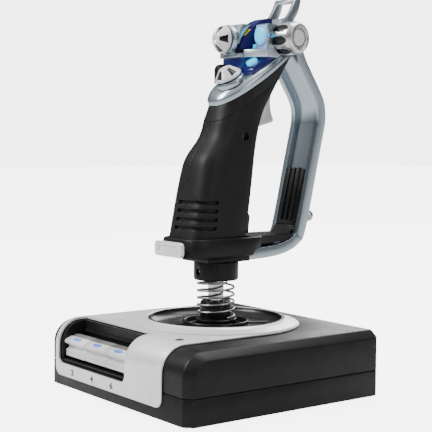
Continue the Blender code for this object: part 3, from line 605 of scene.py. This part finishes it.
# ---------------------------------------------------------------- stick
def spring_mesh():
    """The coil spring, from the yoke's seat up to the collar."""
    low, high = PIVOT_Z + 17.5 + GAP + WIRE_R, COLLAR_Z[0] - GAP - WIRE_R
    turns, steps, sides = 5, 64, 12
    loops = []
    for k in range(turns * steps + 1):
        a = 2 * math.pi * k / steps
        z = low + (high - low) * k / (turns * steps)
        loop = []
        for j in range(sides):
            b = 2 * math.pi * j / sides
            r = SPRING_R + 0.5 - WIRE_R + WIRE_R * math.cos(b)
            loop.append((r * math.cos(a), AXIS_Y + r * math.sin(a), z + WIRE_R * math.sin(b)))
        loops.append(loop)
    return loft(loops)


def stick_parts():
    seat = [(6.6, -9), (12, -9), (12, 8), (12.9, 9), (12.9, 15.2), (15.6, 15.2), (16, 15.6), (16, 17.1),
            (15.6, 17.5), (12.4, 17.5), (12.4, 22.5), (11.9, 23), (12.4, 23.5), (12.4, 29.6), (11.6, 31.2),
            (10.8, 31.5), (6.6, 31.5)]
    across = put(rod(2.3, -40, 40), at=(0, AXIS_Y, PIVOT_Z), turn=AWAY)
    piece("yoke_seat", about_stick(seat, 96, PIVOT_Z), "dark", "roll_yoke", "gimbal_yoke",
          cuts=[across], bevel=0)
    piece("coil_spring", spring_mesh(), "steel", "roll_yoke", "centring_spring", bevel=0, angle=60)
    shaft = [(0, 28), (5.6, 28), (6.2, 28.6), (6.2, 76), (5.9, 76.3), (5.9, 77), (6.2, 77.3), (6.2, 124),
             (0, 124)]
    piece("stick_shaft", about_stick(shaft, 64), "chrome", "handle", "shaft", bevel=0)
    z0, z1 = COLLAR_Z
    collar = [(6.5, z0)] + arc((COLLAR_R - 1.5, z0 + 1.5), 1.5, -90, 0, 6)
    collar += [(COLLAR_R, z1 - 1), (COLLAR_R - 1, z1), (6.5, z1)]
    bore = put(rod(2.6, 6, 30), at=(0, AXIS_Y, 95), turn=TO_PILOT)
    piece("stick_collar", about_stick(collar, 96), "black", "handle", "collar",
          cuts=[bore], bevel=0.2)


# ---------------------------------------------------------------- handle
def lean(z):
    """How far the handle has leant away from the pilot at a height."""
    return math.tan(LEAN) * (z - 148)


def section(y0, y1, half_x, z, square=0.5, count=96):
    """A rounded horizontal section between y0 and y1; square 1 is an ellipse and 0 a rectangle."""
    return [section_point(y0, y1, half_x, z, square, 2 * math.pi * (k + 0.5) / count) for k in range(count)]


def section_point(y0, y1, half_x, z, square, angle):
    c, s = math.cos(angle), math.sin(angle)
    x = half_x * math.copysign(abs(c) ** square, c)
    y = (y0 + y1) / 2 + (y1 - y0) / 2 * math.copysign(abs(s) ** square, s)
    return x, y, z


def depth_of(half_x, square, low, high):
    """Near and far ends of a section whose outline, from the front right, reaches from low to high."""
    p = 2 / square
    p = p / (p - 1)
    reach = (high - low) / 2 * VIEW_SIN
    half = (reach ** p - (VIEW_COS * half_x) ** p) ** (1 / p) / VIEW_SIN
    return (low + high) / 2 - half, (low + high) / 2 + half


def grip_sections(inset):
    """Sections of the grip from its foot to inside the head: straight and leaning below, then waisted."""
    fine = [row for row in curve_through(GRIP_ROWS, 4) if not inset or row[0] > GRIP_LOW + 4]
    made = []
    for z, low, high, half_x, square in fine:
        y0, y1 = depth_of(half_x, square, low, high)
        made.append(section(y0 + inset, y1 - inset, half_x - inset, z, square))
    return made


def head_plane(y):
    """Height of the tilted face plate at a depth."""
    return HEAD[1] + (y - HEAD[0]) * math.tan(TILT)


def head_plan(inset, count=128):
    """Teardrop plan of the head as (x, y): wide under the thumb and narrower at its far end."""
    points = []
    for k in range(count):
        a = 2 * math.pi * (k + 0.5) / count
        c, s = math.cos(a), math.sin(a)
        width = 21.5 - 2.0 * (s + 1) / 2
        side = math.copysign(abs(c) ** (0.75 if s < 0 else 0.75 - 0.15 * s), c) * (width - inset)
        middle, half = (HEAD_Y[0] + HEAD_Y[1]) / 2, (HEAD_Y[1] - HEAD_Y[0]) / 2
        points.append((side, middle + s * (half - inset)))
    return points


def head_loft(levels):
    """A solid of the head's plan, through levels of (height over the plate, inset)."""
    return loft([[(x, y, head_plane(y) + rise) for x, y in head_plan(inset)] for rise, inset in levels])


def slot_band(side, z):
    """A slot two millimetres deep that wraps from the grip's side round to the pilot's side."""
    band = prism(rounded((z, z + 3), (-60, -11 + lean(z) / 2), 1.2, 5), "X", -40, 40)
    bmesh.ops.transform(band, matrix=Matrix(((1, 0, 0, 0), (0, 0, 1, 0), (0, 1, 0, 0), (0, 0, 0, 1))),
                        verts=band.verts)
    reach = (-8, 40) if side > 0 else (-40, -19.5)
    band = intersect(band, box(reach, (-80, 60), (z - 5, z + 8)))
    return difference(band, loft(grip_sections(2.0)))


def grip_parts():
    for name, side in (("left", -1), ("right", 1)):
        half = box(sorted((side * GAP / 3, side * 40)), (-90, 120), (90, 280))
        shell = intersect(loft(grip_sections(0)), half)
        cuts = [loft(grip_sections(WALL)), head_loft([(-RIM - NECK - GAP, -20), (90, -20)]),
                box((-5.8, 5.8), (26, 90), (203, 260)), upright_rod(6.5, 90, 130),
                box((-13, 13), (10, 60), (GRIP_LOW + 16, GRIP_LOW + 36)),
                box((-17.9, 17.9), (-70, -36.6), (107.9, 120.1)),
                cross_rod(1.5, 9, *TRIGGER_PIN), cross_rod(1.3, 15.4, *PINKIE_PIN)]
        ways = (1,) if side > 0 else (1, -1)
        cuts += [slot_band(way, 128.5 + 6.5 * k) for k in range(4) for way in ways]
        if side > 0:
            for radius, low in ((3.2, 16), (1.8, 0)):
                cuts.append(put(rod(radius, low, 40), at=(0, 17, 200), turn=ACROSS))
        piece("grip_half_" + name, shell, "grip", "handle", "grip_shell_" + name, cuts=cuts, bevel=0.35,
              angle=40)


def offset_path(path, distance):
    """The path moved sideways towards the grip, mitred at its corners."""
    made = []
    for k, p in enumerate(path):
        d = distance[k] if isinstance(distance, list) else distance
        before = Vector(p) - Vector(path[max(k - 1, 0)])
        after = Vector(path[min(k + 1, len(path) - 1)]) - Vector(p)
        before = before.normalized() if before.length else after.normalized()
        after = after.normalized() if after.length else before
        along = (before + after).normalized()
        side = Vector((-along.y, along.x))
        made.append(tuple(Vector(p) + side * d / max(along.dot(before), 0.5)))
    return made


def guard_parts():
    rows = [(*p, d) for p, d in zip(GUARD_PATH, GUARD_DEPTH)]
    fine = curve_through(rows[2:], 5)
    path = [(-17, 103.4), (17, 103.4)] + [(y, z) for y, z, d in fine]
    depth = [3.5, 3.5] + [min(d, 8.5) for y, z, d in fine]
    inner = offset_path(path, depth)
    floor = offset_path(path, [min(FLOOR, d - 0.4) for d in depth])
    w, c = GUARD_X, GUARD_X - RAIL
    loops = [[(-w, *o), (w, *o), (w, *i), (c, *i), (c, *f), (-c, *f), (-c, *i), (-w, *i)]
             for o, i, f in zip(path, inner, floor)]
    room = head_loft([(-RIM - NECK - 2, 2.5), (-RIM - NECK + 4, -0.5), (-RIM, -1.5), (8, -1.5)])
    out = (-math.pi / 2 - LEAN, 0, 0)
    bore = put(rod(2.6, -12, 20), at=KNOB_AT, turn=out)
    piece("hand_guard", loft(loops), "blue_silver", "handle", "guard", bevel=0.9, angle=40, segments=4,
          cuts=[room, bore, box((-40, 40), (-60, 23), (90, 130))], early=True)
    foot = box((-w - 0.6, w + 0.6), (-17.6, 22.7), (102.9, 107.3))
    piece("guard_foot", foot, "black", "handle", cuts=[upright_rod(6.6, 90, 115)], bevel=0.7,
          slot="black_plastic")
    dome = [(0, -3), (2.3, -3), (2.3, 0.4), (3.5, 0.4), (3.5, 3), (4.7, 3), (5, 3.3), (5, 6), (4.6, 7.4),
            (4, 8.6), (3.1, 9.5), (2, 10), (1, 10.25), (0, 10.3)]
    flats = []
    for k in range(12):
        a = math.pi * k / 6
        flute = put(rod(0.5, 2.5, 12, 12), at=(5.2 * math.cos(a), 5.2 * math.sin(a), 0))
        flats.append(put(flute, at=KNOB_AT, turn=out))
    piece("tension_knob", put(turned(dome, 72), at=KNOB_AT, turn=out), "chrome", "knob", "lock_knob",
          cuts=flats, bevel=0.12)


def rest_parts():
    """The sliding hand rest: a shelf round the grip's foot, an upright in the guard, and its release."""
    z0, z1 = REST_Z
    slope = math.tan(LEAN)
    levels = [(z0, 0.9), (z0 + 0.3, 0.3), (z0 + 1, 0), (z1 - 1, 0), (z1 - 0.3, 0.3), (z1, 0.9)]
    outer = [section(-38.2 + slope * (z - 115) + d, 35.5 + slope * (z - 115) - d, 25.5 - d, z, 0.47)
             for z, d in levels]
    hole = [section(-28.4 + lean(z), 31.8 + lean(z), GRIP_X + 0.9, z, 0.44) for z in (z0 - 10, z1 + 10)]
    sides = [prism([(14, 100), (24, 112.5), (80, 124), (80, 100)], "X", *sorted((side * 17.3, side * 40)))
             for side in (-1, 1)]
    tongue = prism([(30, z0 + 7), (58, z0 + 9.2), (69, z0 + 11.6), (69, z1), (30, z1)], "X", -16.2, 16.2)
    under = GUARD_PATH[:7] + offset_path(GUARD_PATH, [d + 0.5 for d in GUARD_DEPTH])[:7][::-1]
    back = offset_path(GUARD_PATH, FLOOR + 0.6)[5:8]
    face = offset_path(GUARD_PATH, 8.4)[5:8]
    top = 173.0
    cut = (top - back[1][1]) / (back[2][1] - back[1][1])
    back[2] = tuple(Vector(back[1]).lerp(Vector(back[2]), cut))
    face[2] = tuple(Vector(face[1]).lerp(Vector(face[2]), cut))
    upright = prism([(60, z1 - 3.5)] + back + face[::-1][:2] + [(68, z1), (60, z1)], "X", -11.5, 11.5)
    piece("rest_shelf", loft(outer), "black", "rest", "hand_rest", joins=[tongue, upright],
          cuts=[prism(under, "X", -GUARD_X - 1, GUARD_X + 1), loft(hole),
                box((-17.9, 17.9), (-70, -35.4), (107.9, 120.1))] + sides, bevel=0.6, angle=38)
    along = Vector(face[2]) - Vector(face[1])
    middle = (Vector(face[1]) + Vector(face[2])) / 2
    turn = math.atan2(along.x, along.y)
    for k in range(3):
        rib = prism(rounded((-1.1, 1.1), (-1, 1.4), 0.5, 4), "Z", -22, 22)
        at = (-6 + 6 * k, middle.x, middle.y + 2)
        piece("rest_rib_%d" % (k + 1), put(rib, at=at, turn=(-turn, 0, 0)), "black", "rest", bevel=0.2,
              slot="black_plastic")
    outline = rounded((-17.5, 17.5), (108.3, 119.7), 3, 8)
    recess = prism(rounded((-13, 13), (111, 117), 2.4, 6), "Y", -60, -42.2)
    piece("rest_release", prism(outline, "Y", -43.5, -40.1), "silver", "tab", "release_tab", cuts=[recess],
          bevel=0.7, segments=4)


def neck_point(angle):
    """Where the grip's surface, at an angle round it, meets the head's lower plane."""
    points = []
    for z, low, high, half_x, square in curve_through(NECK_ROWS, 12):
        y0, y1 = depth_of(half_x, square, low, high)
        points.append(section_point(y0, y1, half_x, z, square, angle))
    x, y, z = min(points, key=lambda p: abs(p[2] - head_plane(p[1]) + RIM + NECK))
    return x, y, head_plane(y) - RIM - NECK


def head_parts():
    """The black head, which blends from its own plan into the grip, and the silver plate on it."""
    top = [(x, y, head_plane(y) - RIM - GAP) for x, y in head_plan(0.3)]
    neck = [neck_point(2 * math.pi * (k + 0.5) / len(top)) for k in range(len(top))]
    rings = []
    for t in (1, 0.8, 0.6, 0.4, 0.2, 0):
        share = (t ** 0.75, t, t)
        rings.append([[a + (b - a) * w for a, b, w in zip(u, v, share)] for u, v in zip(top, neck)])
    inside = head_loft([(-RIM - NECK + 3.5, 7), (-RIM - NECK + 5, 5), (-RIM + 5, 3.5)])
    piece("head_body", loft(rings), "grip", "handle", "head_shell", bevel=0.3,
          cuts=[inside, box((-5.8, 5.8), (36, 68), (215, 258)), cross_rod(1.5, 9, *TRIGGER_PIN)])
    rim = [(-RIM, 0.5), (-RIM + 0.5, 0), (-RIM + 4, -1), (-4, -0.7), (-2, 0.2), (-0.8, 1.2), (0, 2.8)]
    piece("head_plate", head_loft(rim), "blue_silver", "handle", "face_plate",
          cuts=[head_loft([(-RIM - 5, 2.5), (-2.5, 2.5)]), dial_room()],
          bevel=0.25, angle=40)


def trigger_parts():
    rows = [(65, 249), (59.5, 244), (54.5, 237), (52.3, 229), (53, 221), (56, 213)]
    front = curve_through(rows, 6)
    back = curve_through([(42, 208.5), (40.5, 213), (43, 226), (48, 240), (53, 252)], 5)
    outline = front + [(54, 211.4)] + back + [(58, 254.5), (63, 253)]
    piece("trigger_blade", prism(outline, "X", -5.2, 5.2), "ash", "trigger_lever", "trigger",
          cuts=[cross_rod(1.6, 20, *TRIGGER_PIN)], bevel=1.1, angle=40, segments=4)
    outline = [(17.2, 141), (25, 140.5), (27, 138), (25.5, 125), (24.3, 124.2), (19.5, 124.2), (17.2, 126)]
    piece("pinkie_blade", prism(outline, "X", -12.6, 12.6), "dark", "pinkie", "pinkie_lever",
          cuts=[cross_rod(1.3, 20, *PINKIE_PIN)], bevel=0.8, segments=4)


def hat(name, centre, turn):
    """A silver cup, a steel ring and a white star cap with four dark insets."""
    def placed(profile, segments):
        return put(turned(profile, segments), at=centre, turn=turn)
    socket = [(4, 0), (HAT_R + 0.6, 0), (HAT_R + 0.6, 2.2), (HAT_R + 0.3, 3.2), (HAT_R - 0.4, 4),
              (HAT_R - 1.2, 4), (HAT_R - 1.6, 3.8), (HAT_R - 3, 2.2), (4, 2.2)]
    piece(name + "_cup", placed(socket, 96), "blue_silver", "handle", name + "_socket", bevel=0,
          slot="blue_silver_paint")
    ring = [(1.4, 3.2), (3.4, 3.2), (3.4, 4.6), (1.4, 4.6)]
    piece(name + "_gimbal", placed(ring, 48), "steel", name + "_mid", name + "_ring", bevel=0.1)
    dome = curve_through([(HAT_R, 6.2), (HAT_R - 0.3, 7.2), (HAT_R - 2.4, 9.6), (HAT_R - 4.7, 12),
                          (HAT_R - 5.8, 13.2), (4, 13.6)], 4)
    cap = [(0, 5.4), (HAT_R - 1, 5.4), (HAT_R - 0.3, 5.6)] + dome
    cap += [(3, 13.2), (2.2, 12.6), (1.2, 12.2), (0, 12)]
    insets = []
    for k in range(4):
        wedge = loft([[(x, y * w, z) for y, z in ((-1, 6.8), (1, 6.8), (1, 16), (-1, 16))]
                      for x, w in ((4.3, 1.5), (9.7, 3.5))])
        insets.append(put(put(wedge, turn=(0, 0, math.pi / 2 * k)), at=centre, turn=turn))
    piece(name + "_star", placed(cap, 96), "white", name + "_top", name + "_cap", cuts=insets,
          bevel=0.25, angle=38)
    core = [(0, 5.9), (HAT_R - 1.2, 5.9)] + [(r - 0.7, z - 0.55) for r, z in dome[4:]] + [(0, 11.4)]
    piece(name + "_insets", placed(core, 96), "dark", name + "_top", bevel=0, slot="dark_plastic")


def push_button(name, centre, turn, radius, height, depth, body, node):
    """A lit round button with a rounded crown and a fine groove round its top."""
    profile = [(0, -depth), (radius, -depth), (radius, height - 1), (radius - 0.3, height - 0.4),
               (radius - 1, height), (radius - 1.5, height), (radius - 1.7, height - 0.25),
               (radius - 1.9, height), (radius * 0.5, height + 0.1), (0, height + 0.15)]
    piece(name, put(turned(profile, 72), at=centre, turn=turn), "cyan", body, node, bevel=0)


def plate_point(u, n):
    """World (y, z) of a point u along and n above the face plate."""
    c, s = math.cos(TILT), math.sin(TILT)
    return (HEAD[0] + u * c - n * s, HEAD[1] + u * s + n * c)


def hood_shape(grow=0.0, drop=0.0):
    """The fire key: a hood that slopes down to the thumb and narrows to a tip.

    grow and drop widen it, and lower its underside, to make the room that it sits in.
    """
    slope = curve_through([(21.6, 271.5), (24, 276.5), (30, 283.6), (36, 288.8), (42, 292), (47, 293.5),
                           (51.2, 293.4)], 4)
    outline = [(21.6 - grow * 4, 268.2 - drop)] + [(y - grow * 2, z + grow * 4) for y, z in slope]
    outline += [(51.5 + grow, 293.4 + grow * 4), (51.5 + grow, 281.4 - drop), (40, 278.5 - drop),
                (30, 268.2 - drop)]
    body = prism(outline, "X", -6.4 - grow, 7.2 + grow)
    left = [(-30, 250), (-0.6 - grow, 250), (-0.6 - grow, 267), (-6.4 - grow, 286), (-6.4 - grow, 320),
            (-30, 320)]
    right = [(30, 250), (4.6 + grow, 250), (4.6 + grow, 268), (7.2 + grow, 280), (7.2 + grow, 320),
             (30, 320)]
    return difference(difference(body, prism(left, "Y", 0, 90)), prism(right, "Y", 0, 90))


def fire_room():
    """Room for the fire key at the bottom of its press."""
    return put(hood_shape(0.6, 1.2), at=(0, 0, -1.8))


def fire_rooms():
    """Room for the fire key at rest, and at the bottom of its press."""
    return [hood_shape(0.35, 2.6), fire_room()]


def below_plate(height):
    """The head's room, up to a height over the face plate."""
    return head_loft([(-90, -30), (height, -30)])


def dial_place(bm):
    """From the dial's own frame, with its axis along Z, to its place on the right of the head."""
    put(bm, turn=ACROSS)
    return put(bm, at=DIAL_AT, turn=(0, 0, DIAL_YAW))


def dial_room():
    return dial_place(rod(13.8, -7.6, 30, 96))


def upper_parts():
    """The box above the face plate, with the upper hat on its left, and everything set into it."""
    outline = [(20.5, 262), (20.5, 283), (24, 288), (60, 288), (69, 284), (71, 279), (68, 262), (30, 262)]
    ears = [box((10, 13.5), (59.5, 67.5), (282, 294.5)), box((-20, -16.6), (59.5, 67.5), (282, 294.5))]
    cuts = [box((4.6, 40), (0, 36), (230, 300)), below_plate(GAP),
            put(rod(6.9, -5, 30), at=PUSH_A_AT, turn=TO_PILOT), *fire_rooms(),
            box((-16.5, 10), (58.6, 90), (286, 310)), dial_room()]
    piece("upper_box", prism(outline, "X", -20, 21), "blue_silver", "handle", "control_block", joins=ears,
          cuts=cuts, bevel=0.9, angle=30, segments=4)
    ledge = prism([(4.9, 24.6), (6, 24.6), (21.6, 35.4), (21.6, 52), (4.9, 52)], "Z", 262.2, 268)
    piece("label_ledge", ledge, "label", "handle", bevel=0.6, segments=4, slot="silver_paint",
          cuts=[dial_room(), below_plate(0.6), fire_room()])
    riser = prism([(22.4, 240), (22.4, 261.8), (56, 261.8), (56, 240)], "X", -18.5, 4.4)
    piece("pod_riser", riser, "indigo", "handle", bevel=0.5, slot="navy_plastic",
          cuts=[below_plate(0.4), put(rod(12.2, -2, 9), at=(5, *plate_point(-14, GAP)), turn=(TILT, 0, 0))])
    fin = [(13, 236), (13, 253.4), (14.4, 255.8), (17, 257), (22, 257), (22, 236)]
    piece("thumb_fin", prism(fin, "X", -18, -12.5), "dark", "handle", bevel=0.8, segments=4,
          slot="dark_plastic", cuts=[below_plate(0.4)])
    clear = put(rod(6.75, -9, 30, 72), at=PUSH_A_AT, turn=TO_PILOT)
    piece("clear_panel", box((7.7, 20.6), (34.9, 35.9), (268.2, 287.2)), "ice", "handle", bevel=0.4,
          slot="blue_lens", cuts=[clear, *fire_rooms(), dial_room()])
    piece("glow_strip", box((4.8, 7.4), (34.9, 35.9), (268.2, 287.2)), "indigo", "handle", bevel=0,
          slot="navy_plastic", cuts=fire_rooms())
    piece("status_lamp", box((4.9, 8), (32.8, 34.9), (269, 272.4)), "cyan", "handle", bevel=0.5,
          segments=4, slot="cyan_lens", cuts=[fire_room()])
    tube = turned([(6.75, 0.2), (7.9, 0.2), (7.9, 2), (7.6, 2.4), (7, 2.4), (6.75, 2.2)], 72)
    piece("upper_push_ring", put(tube, at=PUSH_A_AT, turn=TO_PILOT), "ice", "handle", bevel=0,
          slot="blue_lens", cuts=fire_rooms())
    hat("hat_1", (-8, 20.5 - GAP, 276), TO_PILOT)
    hat("hat_2", (5, *plate_point(-14, GAP)), (TILT, 0, 0))
    push_button("upper_push", PUSH_A_AT, TO_PILOT, 6.6, 3.4, 1.9, "push_a", "button_a")
    lens = [(24, 248.3), (46.5, 262.4), (46.5, 263.4), (38, 261.9), (35, 261.4), (24, 254)]
    well = put(rod(5, -4, 20), at=PUSH_B_AT, turn=(TILT, 0, 0))
    slant = prism([(4, 20), (40, 20), (40, 46), (21, 41.5)], "Z", 259.8, 270)
    piece("glow_panel", prism(lens, "X", -14, 18), "indigo", "handle", "light_panel", cuts=[well, slant],
          bevel=0.5, segments=4)
    push_button("lower_push", PUSH_B_AT, (TILT, 0, 0), 4.7, 2.6, 1.5, "push_b", "button_b")
    fire_parts()
    dial_parts()


def fire_parts():
    """The fire key with its two printed bars, and the loop of the safety cover behind it."""
    piece("fire_key", hood_shape(), "navy", "fire", "fire_button", bevel=0.8, angle=35, segments=4)
    slope = math.atan2(283.6 - 276.5, 30 - 24)
    for k, (x, width, height) in enumerate(((1.6, 0.9, 8.4), (4.7, 0.9, 6.4))):
        bar = prism([(-width, -height / 2), (width, -height / 2), (width + 1.6, height / 2),
                     (-width + 1.6, height / 2)], "Z", -0.6, 0.25)
        at = (x, 28.0, 281.4)
        piece("fire_stripe_%d" % (k + 1), put(bar, at=at, turn=(slope, 0, 0)), "yellow", "fire", bevel=0,
              slot="navy_plastic")
    side = [(60, 289), (67, 289)] + curve_through([(70, 290.6), (72, 293), (77, 301), (79.5, 310)], 5)
    side += [(78, 312), (74, 311.5)] + curve_through([(72.5, 308), (69, 301), (65, 295.6), (62, 293)], 5)
    piece("cover_loop", prism(side, "X", -16, 9.6), "blue_silver", "cover", "safety_cover",
          cuts=[box((-12.5, 6.6), (50, 90), (294.8, 308)), cross_rod(1.5, 30, *COVER_PIN)],
          bevel=0.9, angle=40, segments=4)


def dial_parts():
    """The mode dial: a silver barrel with eight dark lobes, and a pale disc in its end."""
    barrel = [(0, -6.6), (10.4, -6.6), (12, -5.8), (13, -4.4), (13.2, -3), (13.2, 9.6), (12.8, 11.6),
              (11.8, 13.6), (11, 14.8), (10.3, 15.3), (9.3, 15.3), (9, 14.9), (8.9, 14.2), (8.4, 13.9),
              (8.1, 14.4), (7.7, 14.4), (7.5, 14), (7.4, 11.9), (0, 11.9)]
    cuts = []
    for k in range(8):
        lobe = turned([(0, -3), (3.5, -3), (3.5, 3), (0, 3)], 48)
        bmesh.ops.scale(lobe, vec=(2.3, 1, 1), verts=lobe.verts)
        lobe = put(lobe, at=(14, 0, 3.4), turn=ACROSS)
        cuts.append(dial_place(put(lobe, turn=(0, 0, math.pi / 4 * k + 0.2))))
    piece("dial_barrel", dial_place(turned(barrel, 96)), "bright", "dial", "mode_dial", cuts=cuts,
          bevel=0.25, angle=40)
    core = [(0, -5.6), (11.8, -5.6), (12.3, -3), (12.3, 9.6), (11.6, 11.8), (0, 11.8)]
    piece("dial_lobes", dial_place(turned(core, 96)), "dark", "dial", bevel=0, slot="dark_plastic")
    disc = [(0, 12), (6.3, 12), (6.3, 13.9), (5.9, 14.3), (3, 14.5), (0, 14.55)]
    piece("dial_disc", dial_place(turned(disc, 72)), "white", "dial", bevel=0, slot="pearl_plastic")


# ---------------------------------------------------------------- stage
def carried_over():
    """Materials for the CAD nodes that stay: screws, pins, boards and the gimbal."""
    looks = {"steel": "steel", "circuit_board": "board", "dark_plastic": "dark", "black_plastic": "black"}
    for part in frame["record"]["subparts"]:
        obj = bpy.data.objects.get(part["node"])
        if obj is None or obj.hide_render or part["material_slot"] not in looks:
            continue
        for slot in obj.material_slots:
            slot.material = LOOKS[looks[part["material_slot"]]]


def stage():
    """A pale floor, as bright to the camera as the backdrop is, that lights the part only a little."""
    bm = bmesh.new()
    bmesh.ops.create_grid(bm, x_segments=1, y_segments=1, size=6000)
    floor = to_object("floor", bm)
    look = plain("pale_floor", (0.40, 0.40, 0.40), (0.42, 0.42, 0.42), (0.6, 0.7), scale=3, bump=None)
    tree = look.node_tree
    shader = tree.nodes["Principled BSDF"]
    setup(shader, {"Emission Color": (1, 1, 1, 1)})
    level = add(tree, "Math", {1: FLOOR_GLOW_SEEN, 2: FLOOR_GLOW})
    level.operation = "MULTIPLY_ADD"
    tree.links.new(add(tree, "LightPath").outputs["Is Camera Ray"], level.inputs[0])
    tree.links.new(level.outputs["Value"], shader.inputs["Emission Strength"])
    floor.data.materials.append(look)


def light(name, place, target, size, power):
    data = bpy.data.lights.new(name, "AREA")
    data.shape = "RECTANGLE"
    data.size, data.size_y = size
    data.energy = power
    lamp = linked(name, data)
    lamp.location = Vector(place)
    lamp.rotation_euler = (Vector(target) - Vector(place)).to_track_quat("-Z", "Y").to_euler()


def world_light():
    """Soft studio surround: bright above and on the floor side, dim at the horizon, plain white behind."""
    world = bpy.data.worlds.new("studio")
    world.use_nodes = True
    tree = world.node_tree
    soft = tree.nodes["Background"]
    link = tree.links.new
    coords = add(tree, "TexCoord")
    split = add(tree, "SeparateXYZ")
    ramp = add(tree, "ValToRGB")
    stops = ramp.color_ramp.elements
    for position, level in SKY[1:-1]:
        stops.new(position)
    for stop, (position, level) in zip(stops, SKY):
        stop.position = position
        stop.color = (level, level, level, 1)
    span = add(tree, "MapRange", {"From Min": -1.0})
    link(coords.outputs["Generated"], split.inputs["Vector"])
    link(split.outputs["Z"], span.inputs["Value"])
    link(span.outputs["Result"], ramp.inputs["Fac"])
    link(ramp.outputs["Color"], soft.inputs["Color"])
    setup(soft, {"Strength": SURROUND})
    plain_back = add(tree, "Background", {"Strength": BACKDROP})
    mix = add(tree, "MixShader")
    link(add(tree, "LightPath").outputs["Is Camera Ray"], mix.inputs["Fac"])
    link(soft.outputs["Background"], mix.inputs[1])
    link(plain_back.outputs["Background"], mix.inputs[2])
    link(mix.outputs["Shader"], tree.nodes["World Output"].inputs["Surface"])
    bpy.context.scene.world = world


def lights():
    world_light()
    target = (0, 0, 0.14)
    light("key", (-0.5, -1.2, 1.3), target, (0.7, 0.7), 40)
    light("side", (1.6, 0.2, 0.9), target, (0.5, 1.2), 5)
    light("top", (0.1, 0.5, 1.5), target, (1.0, 1.0), 22)
    light("rear", (-0.9, 1.3, 0.8), target, (0.5, 1.2), 12)


def camera():
    yaw, pitch, roll = (math.radians(angle) for angle in CAMERA_TURN)
    forward = Vector((-math.sin(yaw) * math.cos(pitch), math.cos(yaw) * math.cos(pitch), -math.sin(pitch)))
    right = forward.cross(Vector((0, 0, 1))).normalized()
    down = forward.cross(right)
    level_right = math.cos(roll) * right + math.sin(roll) * down
    level_down = -math.sin(roll) * right + math.cos(roll) * down
    data = bpy.data.cameras.new("camera")
    data.sensor_width = 36
    data.lens = CAMERA_LENS
    data.clip_start, data.clip_end = 0.01, 50
    view = linked("camera", data)
    turn = Matrix((level_right, -level_down, -forward)).transposed().to_4x4()
    view.matrix_world = Matrix.Translation(CAMERA_AT) @ turn
    bpy.context.scene.camera = view


base_shells()
fascia()
dish_parts()
bay_parts()
stick_parts()
grip_parts()
guard_parts()
rest_parts()
head_parts()
trigger_parts()
upper_parts()
carried_over()
stage()
lights()
camera()
